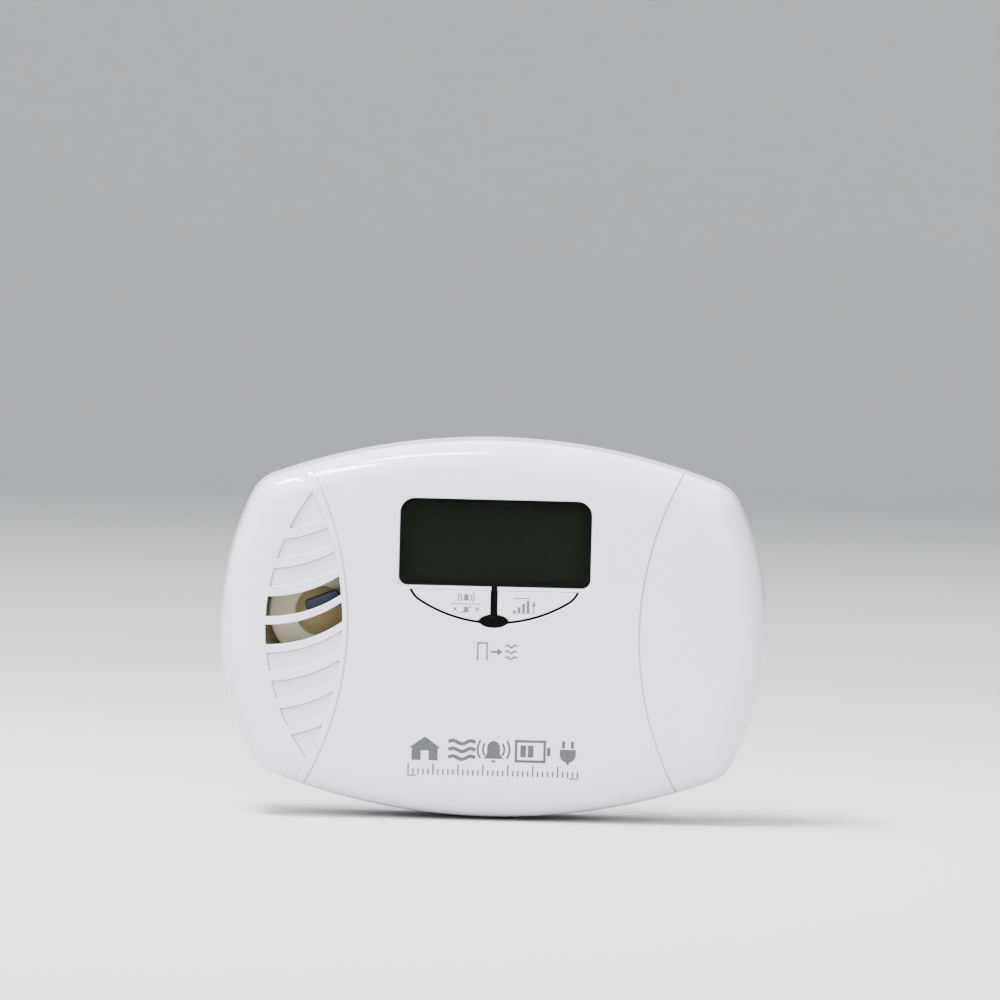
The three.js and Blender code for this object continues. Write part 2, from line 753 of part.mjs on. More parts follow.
function buildDisplay() {
  const display = new THREE.Group();
  add(display, "lcd_panel", block(-23, 23, 12.3, 32.3, 30.9, 33.5), LCD_GLASS);
  add(display, "lcd_holder", lcdHolder(), DARK_PLASTIC);
  add(display, "backlight_panel", block(-22.8, 22.8, 14.8, 32.1, 26.5, 30.6), DIFFUSER);
  add(display, "connector_strip", block(-20, 20, 12.5, 14.2, ON_BOARD, 30.7), RUBBER);
  add(display, "alarm_led", lightEmittingDiode(), LED_RED, [0, 0, INDICATOR.z]);
  return display;
}

function buildBoard() {
  const board = new THREE.Group();
  add(board, "circuit_board", circuitBoard(), BOARD_TAN);
  const hornPlace = [HORN.x, 0, HORN.z];
  add(board, "horn_housing", hornHousing(), CREAM, hornPlace);
  add(board, "horn_disc", rod(0, 0, HORN.radius - 1.6, 24, 24.6, 32), BRASS, hornPlace);
  const { x, z, tilt } = HORN_CAPACITOR;
  const capacitor = add(board, "horn_capacitor", hornCapacitor(), BLUE, [x, 0, z]);
  capacitor.rotation.y = -tilt;
  const sensorPlace = [SENSOR.x, 0, SENSOR.z];
  add(board, "gas_sensor_can", sensorCan(), STEEL, sensorPlace);
  add(board, "gas_sensor_cap", sensorCap(), CREAM, sensorPlace);
  add(board, "microcontroller", block(-5, 5, -5, 5, ON_BOARD, 23.6), DARK_PLASTIC, [25, 0, -12]);
  add(board, "transformer_core", transformerCore(), IRON);
  add(board, "transformer_winding", transformerWinding(), TAPE_YELLOW);
  add(board, "reservoir_capacitor", reservoirCapacitor(), WIRE_BLACK, [-10, 0, -28]);
  add(board, "film_capacitor", block(-19, -5, -16, -7, 8, UNDER_BOARD), CREAM);
  add(board, "varistor", varistor(), BLUE);
  BOARD_SCREWS.forEach(([x, z], i) => {
    const turned = screw(2.4, 1, 1.6, 10);
    const mesh = add(board, `board_screw_${i + 1}`, turned, STEEL, [x, 23.6, z]);
    mesh.rotation.z = Math.PI;
  });
  return board;
}

function buildPlug() {
  const plug = new THREE.Group();
  plug.position.set(0, 0, PLUG.z);
  add(plug, "blade_block", bladeBlock(), DARK_PLASTIC);
  add(plug, "blade_left", blade(), NICKEL, [-PLUG.spacing / 2, 0, 0]);
  add(plug, "blade_right", blade(), NICKEL, [PLUG.spacing / 2, 0, 0]);
  const start = PLUG.inner + 0.3;
  const leftRun = [[-6.35, start, 0], [-6.6, 18, 0.6], [-9.5, 18.6, 2.6], [-11.5, 18.8, 4.6], [-12.2, 19.1, 5.6]];
  const rightRun = leftRun.map(([x, depth, z]) => [-x, depth, z]);
  add(plug, "mains_lead_left", lead(leftRun), WIRE_BLACK);
  add(plug, "mains_lead_right", lead(rightRun), WIRE_WHITE);
  return plug;
}

function buildBatteries() {
  const bay = new THREE.Group();
  add(bay, "battery_drawer", batteryDrawer(), WHITE_ABS);
  const upper = add(bay, "battery_upper", cell(), CELL_JACKET, [CELL_RIGHT, CELL.depth, UPPER_CELL_Z]);
  upper.rotation.z = Math.PI / 2;
  const lower = add(bay, "battery_lower", cell(), CELL_JACKET, [CELL_LEFT, CELL.depth, LOWER_CELL_Z]);
  lower.rotation.z = -Math.PI / 2;
  add(bay, "bridge_contact", bridgeContact(), NICKEL);
  const shortSpring = wire(new SpringCurve(1.2, 4.2, 2.6, 2), 0.3, 24, 5);
  add(bay, "bridge_spring", shortSpring, STEEL, [CELL_RIGHT + 0.5, CELL.depth, UPPER_CELL_Z]);
  add(bay, "bay_contact", bayContact(), NICKEL);
  const longSpring = wire(new SpringCurve(6.2, 4.6, 2.6, 4), 0.35, 44, 5);
  add(bay, "bay_spring", longSpring, STEEL, [4.8, CELL.depth, LOWER_CELL_Z]);
  const springPlate = block(4, 4.4, -3.5, 3.5, 6, UNDER_BOARD);
  add(bay, "bay_spring_plate", springPlate, NICKEL, [0, 0, LOWER_CELL_Z]);
  return bay;
}

alarm.add(buildHousing(), buildButtons(), buildDisplay(), buildBoard(), buildPlug(), buildBatteries());

export default alarm;
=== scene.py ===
"""Looks for the plug-in carbon monoxide alarm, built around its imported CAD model.

Lengths below are in millimetres until they reach a mesh, which is in metres. A shape is drawn as
(x, z) seen from the front, and "depth" is the distance in front of the wall plane, so a point at
depth d has y = -d.
"""

import math

import bmesh
import bpy
from mathutils import Matrix, Vector
from mathutils.geometry import delaunay_2d_cdt


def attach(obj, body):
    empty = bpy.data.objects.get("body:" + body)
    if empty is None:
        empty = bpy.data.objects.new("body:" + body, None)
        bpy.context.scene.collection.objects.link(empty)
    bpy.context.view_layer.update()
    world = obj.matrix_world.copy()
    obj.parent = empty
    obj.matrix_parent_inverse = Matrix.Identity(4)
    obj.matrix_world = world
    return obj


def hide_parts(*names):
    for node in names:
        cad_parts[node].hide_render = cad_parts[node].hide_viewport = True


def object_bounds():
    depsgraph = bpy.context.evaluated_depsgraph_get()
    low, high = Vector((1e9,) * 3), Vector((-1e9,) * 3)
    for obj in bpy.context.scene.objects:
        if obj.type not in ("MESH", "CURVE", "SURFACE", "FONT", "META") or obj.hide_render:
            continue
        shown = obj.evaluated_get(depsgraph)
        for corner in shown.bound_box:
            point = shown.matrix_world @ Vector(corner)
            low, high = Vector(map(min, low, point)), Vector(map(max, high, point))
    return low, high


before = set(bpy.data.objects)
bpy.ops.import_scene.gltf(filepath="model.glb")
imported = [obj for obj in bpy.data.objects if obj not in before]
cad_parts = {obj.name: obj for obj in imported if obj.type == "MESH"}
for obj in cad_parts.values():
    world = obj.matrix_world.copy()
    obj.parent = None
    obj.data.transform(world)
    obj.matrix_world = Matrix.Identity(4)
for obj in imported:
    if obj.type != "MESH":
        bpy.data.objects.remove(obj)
CAD_LOW, CAD_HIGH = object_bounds()

MM = 0.001

# ---------------------------------------------------------------- dimensions, as in the CAD

HALF_WIDTH, HALF_HEIGHT = 71.2, 49.5
TOP_ARC, SIDE_ARC, CORNER_ARC = 165.0, 79.0, 10.4
TOP_CENTRE = Vector((0.0, HALF_HEIGHT - TOP_ARC))
SIDE_CENTRE = Vector((HALF_WIDTH - SIDE_ARC, 0.0))
CASE_DEPTH, PARTING, WALL, FACE_DRAFT = 37.95, 20.5, 2.0, 0.6
ROLL_WIDTH, ROLL_DROP, ROLL_POWER = 9.0, 9.0, 2.5
CROWN_ACROSS, CROWN_UP = 1.6, 1.3

LEAF_LEFT_ARC, LEAF_RIGHT_ARC, LEAF_RIGHT_CENTRE = 59.0, 74.6, -113.7
LEAF_MIDDLE_X, LEAF_TIP_Z = -45.0, 35.0
SLAT_ARC, SLAT_PITCH, SLAT_GAP, SLAT_CENTRE_X = 34.0, 7.3, 5.2, -59.0
POCKET_GAP, POCKET_DEPTH = 4.8, 0.85
SEAM_ARC, SEAM_CENTRE = 85.5, 123.2

WINDOW = dict(half=24.8, low=11.15, high=33.7, top=3.8, foot=2.3)
FIELD_ARC, FIELD_LOW, FIELD_TOP = 36.5, 1.5, 10.3
FIELD_END_ARC, FIELD_END_TURN = 6.5, 0.56
FIELD_Z = FIELD_LOW + FIELD_ARC
FIELD_END_X = (FIELD_ARC - FIELD_END_ARC) * math.sin(FIELD_END_TURN)
FIELD_END_Z = FIELD_Z - (FIELD_ARC - FIELD_END_ARC) * math.cos(FIELD_END_TURN)
STEM_HALF = 0.82
OVAL_Z, OVAL_ACROSS, OVAL_UP = 2.1, 3.62, 1.6
LEDGE_WIDTH, LEDGE_DEPTH = 0.85, 0.8
LENS_DEPTH, BUTTON_DEPTH, BUTTON_EDGE_GAP, GAP_SHADE_DEPTH = 36.45, 37.62, 0.62, 36.9
LENS_CLEAR = 0.1
FIELD_REACH = 26.0      # the buttons and the window lie inside this half width
GRILLE_RIGHT = -35.0    # the grille lies to the left of this
SKIN_STEPS = (6, 5, 8)


# ---------------------------------------------------------------- the case outline

def corner_centre():
    """Where the corner's own centre lies, tangent to the top and side arcs."""
    between = SIDE_CENTRE - TOP_CENTRE
    distance = between.length
    a, b = TOP_ARC - CORNER_ARC, SIDE_ARC - CORNER_ARC
    along = (distance ** 2 + a ** 2 - b ** 2) / (2 * distance)
    aside = math.sqrt(a ** 2 - along ** 2)
    unit = between / distance
    return TOP_CENTRE + unit * along + Vector((unit.y, -unit.x)) * aside


CORNER = corner_centre()
SIDE_END = math.atan2(CORNER.y - SIDE_CENTRE.y, CORNER.x - SIDE_CENTRE.x)
CORNER_END = math.atan2(CORNER.y - TOP_CENTRE.y, CORNER.x - TOP_CENTRE.x)
SIDE_RAY = (CORNER - SIDE_CENTRE).normalized()
TOP_RAY = (CORNER - TOP_CENTRE).normalized()


def outline(inset, steps=(18, 14, 24)):
    """The outline's points, anticlockwise from +X, moved inwards by inset."""
    arcs = ((SIDE_CENTRE, SIDE_ARC, 0.0, SIDE_END), (CORNER, CORNER_ARC, SIDE_END, CORNER_END),
            (TOP_CENTRE, TOP_ARC, CORNER_END, math.pi / 2))
    quarter = []
    for (centre, radius, start, end), count in zip(arcs, steps):
        for i in range(count):
            angle = start + (end - start) * i / count
            quarter.append((centre.x + (radius - inset) * math.cos(angle),
                            centre.y + (radius - inset) * math.sin(angle)))
    top = [(0.0, HALF_HEIGHT - inset)]
    left = [(-x, z) for x, z in reversed(quarter[1:])]
    half = quarter + top + left + [(-(HALF_WIDTH - inset), 0.0)]
    return half + [(x, -z) for x, z in reversed(half[1:-1])]


def inside_of(x, z):
    """How far (x, z) lies inside the outline, and the outward direction there."""
    p = Vector((abs(x), abs(z)))
    from_corner = p - CORNER
    if SIDE_RAY.cross(from_corner) >= 0 and TOP_RAY.cross(from_corner) <= 0:
        centre, radius = CORNER, CORNER_ARC
    elif SIDE_ARC - (p - SIDE_CENTRE).length < TOP_ARC - (p - TOP_CENTRE).length:
        centre, radius = SIDE_CENTRE, SIDE_ARC
    else:
        centre, radius = TOP_CENTRE, TOP_ARC
    out = p - centre
    length = out.length
    out = out / length if length > 1e-9 else Vector((1.0, 0.0))
    return radius - length, Vector((math.copysign(out.x, x), math.copysign(out.y, z)))


def crown(x, z):
    """How far the domed front falls away from its middle at (x, z)."""
    return CROWN_ACROSS * (x / HALF_WIDTH) ** 2 + CROWN_UP * (z / HALF_HEIGHT) ** 2


def face(x, z, margin=FACE_DRAFT, sunk=0.0):
    """The front face at (x, z): its depth, and its normal as (x, depth, z)."""
    distance, out = inside_of(x, z)
    share = min(1.0, max(0.0, 1 - (distance - margin) / ROLL_WIDTH))
    root = math.sqrt(max(0.0, 1 - share ** ROLL_POWER))
    depth = CASE_DEPTH - crown(x, z) - ROLL_DROP * (1 - root) - sunk
    slope = ROLL_DROP * ROLL_POWER * share ** (ROLL_POWER - 1) / (2 * ROLL_WIDTH * max(root, 1e-4))
    tilt_x = out.x * slope + 2 * CROWN_ACROSS * x / HALF_WIDTH ** 2
    tilt_z = out.y * slope + 2 * CROWN_UP * z / HALF_HEIGHT ** 2
    return depth, Vector((tilt_x, 1.0, tilt_z)).normalized()


# ---------------------------------------------------------------- flat shapes

def arc(cx, cz, radius, start, end, count):
    """Points on an arc between two angles in degrees, both ends included."""
    angles = [math.radians(start + (end - start) * i / count) for i in range(count + 1)]
    return [(cx + radius * math.cos(a), cz + radius * math.sin(a)) for a in angles]


def oval_arc(across, up, start, end, count):
    """Points on an oval round the indicator's middle, both ends included."""
    return [(across * x, OVAL_Z + up * z) for x, z in arc(0.0, 0.0, 1.0, start, end, count)]


def beyond_oval(x, z, across, up, share=1.0):
    """Whether (x, z) lies outside an oval round the indicator's middle."""
    return math.hypot(x / across, (z - OVAL_Z) / up) > share


def rounded_box(left, right, low, high, foot, top, steps=8):
    """A box with its own corner radius at the foot and at the top."""
    shape = arc(right - foot, low + foot, foot, -90, 0, steps)
    shape += arc(right - top, high - top, top, 0, 90, steps)
    shape += arc(left + top, high - top, top, 90, 180, steps)
    shape += arc(left + foot, low + foot, foot, 180, 270, steps)
    return shape


def subdivided(points, step, closed=True):
    """The same path with no edge longer than step."""
    made = []
    last = len(points) if closed else len(points) - 1
    for i in range(last):
        a, b = points[i], points[(i + 1) % len(points)]
        count = max(1, math.ceil(math.dist(a, b) / step))
        made += [(a[0] + (b[0] - a[0]) * k / count, a[1] + (b[1] - a[1]) * k / count)
                 for k in range(count)]
    return made if closed else made + [points[-1]]


def contains(polygon, x, z):
    """Whether (x, z) lies inside a polygon."""
    found = False
    for (ax, az), (bx, bz) in zip(polygon, polygon[1:] + polygon[:1]):
        if (az > z) != (bz > z) and x < (bx - ax) * (z - az) / (bz - az) + ax:
            found = not found
    return found


def window_shape(grow, steps=10):
    """The window opening, moved outwards by grow."""
    w = WINDOW
    return rounded_box(-w["half"] - grow, w["half"] + grow, w["low"] - grow, w["high"] + grow,
                       w["foot"] + grow, w["top"] + grow, steps)


def window_distance(x, z):
    """Distance outside the window opening, and the direction away from it."""
    w = WINDOW
    middle = (w["low"] + w["high"]) / 2
    corner = w["foot"] if z < middle else w["top"]
    qx = abs(x) - (w["half"] - corner)
    qz = abs(z - middle) - ((w["high"] - w["low"]) / 2 - corner)
    if qx > 0 and qz > 0:
        length = math.hypot(qx, qz)
        return length - corner, Vector((math.copysign(qx / length, x),
                                        math.copysign(qz / length, z - middle)))
    if qx > qz:
        return qx - corner, Vector((math.copysign(1, x), 0))
    return qz - corner, Vector((0, math.copysign(1, z - middle)))


def field_distance(x, z):
    """Distance outside the field that the buttons fill, its stem slot and the indicator."""
    if math.atan2(abs(x), FIELD_Z - z) > FIELD_END_TURN:
        below = math.hypot(abs(x) - FIELD_END_X, z - FIELD_END_Z) - FIELD_END_ARC
    else:
        below = math.hypot(x, z - FIELD_Z) - FIELD_ARC
    field = max(below, z - FIELD_TOP)
    stem = max(abs(x) - STEM_HALF, z - WINDOW["low"] - 1, OVAL_Z - z)
    scaled = math.hypot(x / OVAL_ACROSS, (z - OVAL_Z) / OVAL_UP)
    oval = (scaled - 1) * OVAL_UP if scaled < 1e-6 else (scaled - 1) * math.hypot(
        x, z - OVAL_Z) / scaled
    return min(field, stem, oval)


def field_path(grow, top):
    """The field's lower edge from its top left end to its top right end, moved outwards."""
    end, turn = FIELD_END_ARC + grow, math.degrees(FIELD_END_TURN)
    last = 90 + math.degrees(math.asin(max(-1.0, min(1.0, (top - FIELD_END_Z) / end))))
    left = arc(-FIELD_END_X, FIELD_END_Z, end, -90 - last, -90 - turn, 12)
    middle = arc(0, FIELD_Z, FIELD_ARC + grow, -90 - turn, -90 + turn, 72)
    right = arc(FIELD_END_X, FIELD_END_Z, end, -90 + turn, -90 + last, 12)
    return left + middle[1:] + right[1:]


def opening_polygon():
    """The one opening made of the window, the stem slot, the button field and the indicator."""
    field = [p for p in field_path(0, FIELD_TOP) if beyond_oval(*p, OVAL_ACROSS, OVAL_UP, 1.02)]
    oval = [p for p in oval_arc(OVAL_ACROSS, OVAL_UP, 180, 360, 24)
            if math.hypot(p[0], p[1] - FIELD_Z) > FIELD_ARC]
    left = [p for p in field if p[0] < 0]
    right = [p for p in field if p[0] > 0]
    shape = [(-STEM_HALF, WINDOW["low"]), (-STEM_HALF, FIELD_TOP)] + left + oval + right
    shape += [(STEM_HALF, FIELD_TOP), (STEM_HALF, WINDOW["low"])]
    return shape + window_shape(0)


def crossing(a, b, choose):
    """Where two circles (x, z, radius) cross: the point that choose picks of the two."""
    ax, az, ar = a
    bx, bz, br = b
    distance = math.hypot(bx - ax, bz - az)
    along = (distance ** 2 + ar ** 2 - br ** 2) / (2 * distance)
    aside = math.sqrt(max(0.0, ar ** 2 - along ** 2))
    ux, uz = (bx - ax) / distance, (bz - az) / distance
    return choose([(ax + ux * along - uz * aside * s, az + uz * along + ux * aside * s)
                   for s in (1, -1)])


def between(circle, start, end, step):
    """Points along a circle (x, z, radius) from one point to the next, the short way."""
    cx, cz, radius = circle
    a = math.atan2(start[1] - cz, start[0] - cx)
    b = math.atan2(end[1] - cz, end[0] - cx)
    turn = (b - a + math.pi) % (2 * math.pi) - math.pi
    count = max(2, math.ceil(abs(turn) * radius / step))
    angles = [a + turn * i / count for i in range(count)]
    return [(cx + radius * math.cos(t), cz + radius * math.sin(t)) for t in angles]


def gap_polygon(top, low, shrink, step=0.5):
    """A gap between two slats, shrunk on every side; None leaves that side to the leaf's tip."""
    leaf_left = (0.0, 0.0, LEAF_LEFT_ARC - shrink)
    leaf_right = (LEAF_RIGHT_CENTRE, 0.0, LEAF_RIGHT_ARC - shrink)
    upper = None if top is None else (SLAT_CENTRE_X, top + SLAT_ARC, SLAT_ARC + shrink)
    lower = None if low is None else (SLAT_CENTRE_X, low + SLAT_ARC, SLAT_ARC - shrink)

    def leftmost(pair):
        return min(pair, key=lambda p: p[0])

    def nearest(pair):
        """The crossing that lies by the leaf, not the one on the far side of the circle."""
        return min(pair, key=lambda p: abs(p[0] - LEAF_MIDDLE_X) + abs(p[1]) * 0.01)

    def lowest(pair):
        return min(pair, key=lambda p: p[1])

    def highest(pair):
        return max(pair, key=lambda p: p[1])

    tip_high = crossing(leaf_left, leaf_right, highest)
    tip_low = crossing(leaf_left, leaf_right, lowest)
    top_left = tip_high if upper is None else crossing(leaf_left, upper, leftmost)
    low_left = tip_low if lower is None else crossing(leaf_left, lower, leftmost)
    top_right = tip_high if upper is None else crossing(leaf_right, upper, nearest)
    low_right = tip_low if lower is None else crossing(leaf_right, lower, nearest)
    shape = between(leaf_left, top_left, low_left, step)
    shape += [tip_low] if lower is None else between(lower, low_left, low_right, step)
    shape += between(leaf_right, low_right, top_right, step)
    shape += [] if upper is None else between(upper, top_right, top_left, step)
    return shape


def leaf_distance(x, z):
    """Distance outside the leaf that all the gaps lie in."""
    return max(math.hypot(x, z) - LEAF_LEFT_ARC,
               math.hypot(x - LEAF_RIGHT_CENTRE, z) - LEAF_RIGHT_ARC)


def seam_distance(x, z):
    """Distance from the nearer of the two seams."""
    return abs(math.hypot(abs(x) - SEAM_CENTRE, z) - SEAM_ARC)


def gap_distance(top, low, x, z):
    """Distance outside a gap between two slats."""
    found = leaf_distance(x, z)
    if top is not None:
        found = max(found, SLAT_ARC - math.hypot(x - SLAT_CENTRE_X, z - top - SLAT_ARC))
    if low is not None:
        found = max(found, math.hypot(x - SLAT_CENTRE_X, z - low - SLAT_ARC) - SLAT_ARC)
    return found


SLOTS = [(SLAT_PITCH, SLAT_PITCH - SLAT_GAP), (0.0, -SLAT_GAP)]
POCKETS = [(None, 4 * SLAT_PITCH - POCKET_GAP)]
POCKETS += [(row * SLAT_PITCH, row * SLAT_PITCH - POCKET_GAP) for row in (3, 2, -1, -2, -3)]
POCKETS += [(-4 * SLAT_PITCH, None)]


# ---------------------------------------------------------------- relief of the front face

SEAM_HALF, SEAM_SOFT, SEAM_DEEP = 0.13, 0.21, 0.8
CREASE_SOFT, CREASE_DEEP = 0.24, 0.42
EDGE_ROUND = 0.30
POCKET_ROUND, POCKET_WALL = 0.07, 0.2
GROOVE_INSIDE, GROOVE_HALF, GROOVE_DEEP = 0.17, 0.15, 0.6


def smooth(value):
    """A smooth step from 0 to 1."""
    value = min(1.0, max(0.0, value))
    return value * value * (3 - 2 * value)


def seam_depth(x, z):
    """How deep the two seams, and the crease that runs on from the leaf's tips, lie at (x, z)."""
    away = seam_distance(x, z)
    sunk = SEAM_DEEP * (1 - smooth((away - SEAM_HALF) / (SEAM_SOFT - SEAM_HALF)))
    if x < 0:
        from_crease = abs(math.hypot(x - LEAF_RIGHT_CENTRE, z) - LEAF_RIGHT_ARC)
        past_tip = smooth((abs(z) - LEAF_TIP_Z) / 1.5)
        sunk = max(sunk, CREASE_DEEP * past_tip * (1 - smooth(from_crease / CREASE_SOFT)))
    return sunk


def edge_round(away, radius):
    """The drop of a rounded edge at a distance outside an opening."""
    if away >= radius:
        return 0.0
    away = max(away, 0.0)
    return radius - math.sqrt(max(0.0, radius ** 2 - (radius - away) ** 2))


def pocket_groove(top, x, z):
    """The extra depth of the fine groove along a pocket's left and upper edges."""
    away = math.hypot(x, z) - LEAF_LEFT_ARC
    if top is not None:
        away = max(away, SLAT_ARC - math.hypot(x - SLAT_CENTRE_X, z - top - SLAT_ARC))
    return GROOVE_DEEP * (1 - smooth(abs(away + GROOVE_INSIDE) / GROOVE_HALF))


def recess_depth(x, z):
    """How far pockets, rounded edges and the sill under the window drop the face at (x, z)."""
    drop = 0.0
    away, direction = window_distance(x, z)
    if away < 2:
        ledge = LEDGE_WIDTH * smooth(-1.4 * direction.y)
        floor = LEDGE_DEPTH * (1 - smooth((away - ledge + 0.14) / 0.16)) if ledge > 0.1 else 0.0
        drop = max(drop, edge_round(away, EDGE_ROUND * 0.7), floor)
    if abs(x) < FIELD_REACH and z < 12.2:
        drop = max(drop, edge_round(field_distance(x, z), EDGE_ROUND))
    if x < GRILLE_RIGHT:
        for top, low in SLOTS:
            drop = max(drop, edge_round(gap_distance(top, low, x, z), EDGE_ROUND * 0.8))
        for top, low in POCKETS:
            away = gap_distance(top, low, x, z)
            if away < POCKET_ROUND:
                wall = min(1.0, max(0.0, -away / POCKET_WALL)) * (POCKET_DEPTH - POCKET_ROUND)
                wall += pocket_groove(top, x, z) if away < 0 else 0.0
                drop = max(drop, edge_round(away, POCKET_ROUND) + wall)
    return drop


def place(x, z):
    """The finished front surface over (x, z), in metres."""
    depth, normal = face(x, z)
    sunk = seam_depth(x, z)
    return Vector((x - normal.x * sunk, -(depth - normal.y * sunk - recess_depth(x, z)),
                   z - normal.z * sunk)) * MM


# ---------------------------------------------------------------- mesh helpers

def shade(bm, angle):
    """Smooth shading with sharp edges above an angle."""
    limit = math.radians(angle)
    for f in bm.faces:
        f.smooth = True
    for e in bm.edges:
        e.smooth = len(e.link_faces) == 2 and e.calc_face_angle(math.pi) < limit


def new_object(name, bm, smooth_angle=32.0):
    """An object from a bmesh, smooth-shaded with sharp edges above an angle."""
    bm.normal_update()
    shade(bm, smooth_angle)
    mesh = bpy.data.meshes.new(name)
    bm.to_mesh(mesh)
    bm.free()
    obj = bpy.data.objects.new(name, mesh)
    bpy.context.scene.collection.objects.link(obj)
    return obj


def triangulated(points, edges, keep):
    """Triangles over 2D points that respect the edges, where keep(x, z) holds at their middle."""
    verts = [Vector(p) for p in points]
    out, _, faces, _, _, _ = delaunay_2d_cdt(verts, edges, [], 0, 1e-5)
    kept = []
    for f in faces:
        cx = sum(out[i].x for i in f) / len(f)
        cz = sum(out[i].y for i in f) / len(f)
        if keep(cx, cz):
            a, b, c = (out[i] for i in f[:3])
            flip = (b - a).cross(c - a) < 0
            kept.append(tuple(reversed(f)) if flip else tuple(f))
    return out, kept


class Layout:
    """Points and constraint edges that a triangulation is made over."""

    def __init__(self):
        self.points = []
        self.edges = []

    def path(self, points, closed=True):
        first = len(self.points)
        self.points += points
        count = len(points)
        last = count if closed else count - 1
        self.edges += [(first + i, first + (i + 1) % count) for i in range(last)]

    def dots(self, points):
        self.points += points


def boundary_loops(faces):
    """The loops of edges that belong to one face only, each in its face's own direction."""
    once = {}
    for f in faces:
        for a, b in zip(f, f[1:] + f[:1]):
            if (b, a) in once:
                del once[(b, a)]
            else:
                once[(a, b)] = True
    following = {a: b for a, b in once}
    loops = []
    while following:
        start, current = next(iter(following.items()))
        del following[start]
        loop = [start]
        while current != start:
            loop.append(current)
            current = following.pop(current)
        loops.append(loop)
    return loops


def grid_dots(step, keep):
    """A staggered grid of points where keep holds."""
    made = []
    rows = int(HALF_HEIGHT / (step * 0.866)) + 1
    columns = int(HALF_WIDTH / step) + 1
    for row in range(-rows, rows + 1):
        for column in range(-columns, columns + 1):
            x = (column + 0.5 * (row % 2)) * step
            z = row * step * 0.866
            if keep(x, z):
                made.append((x, z))
    return made


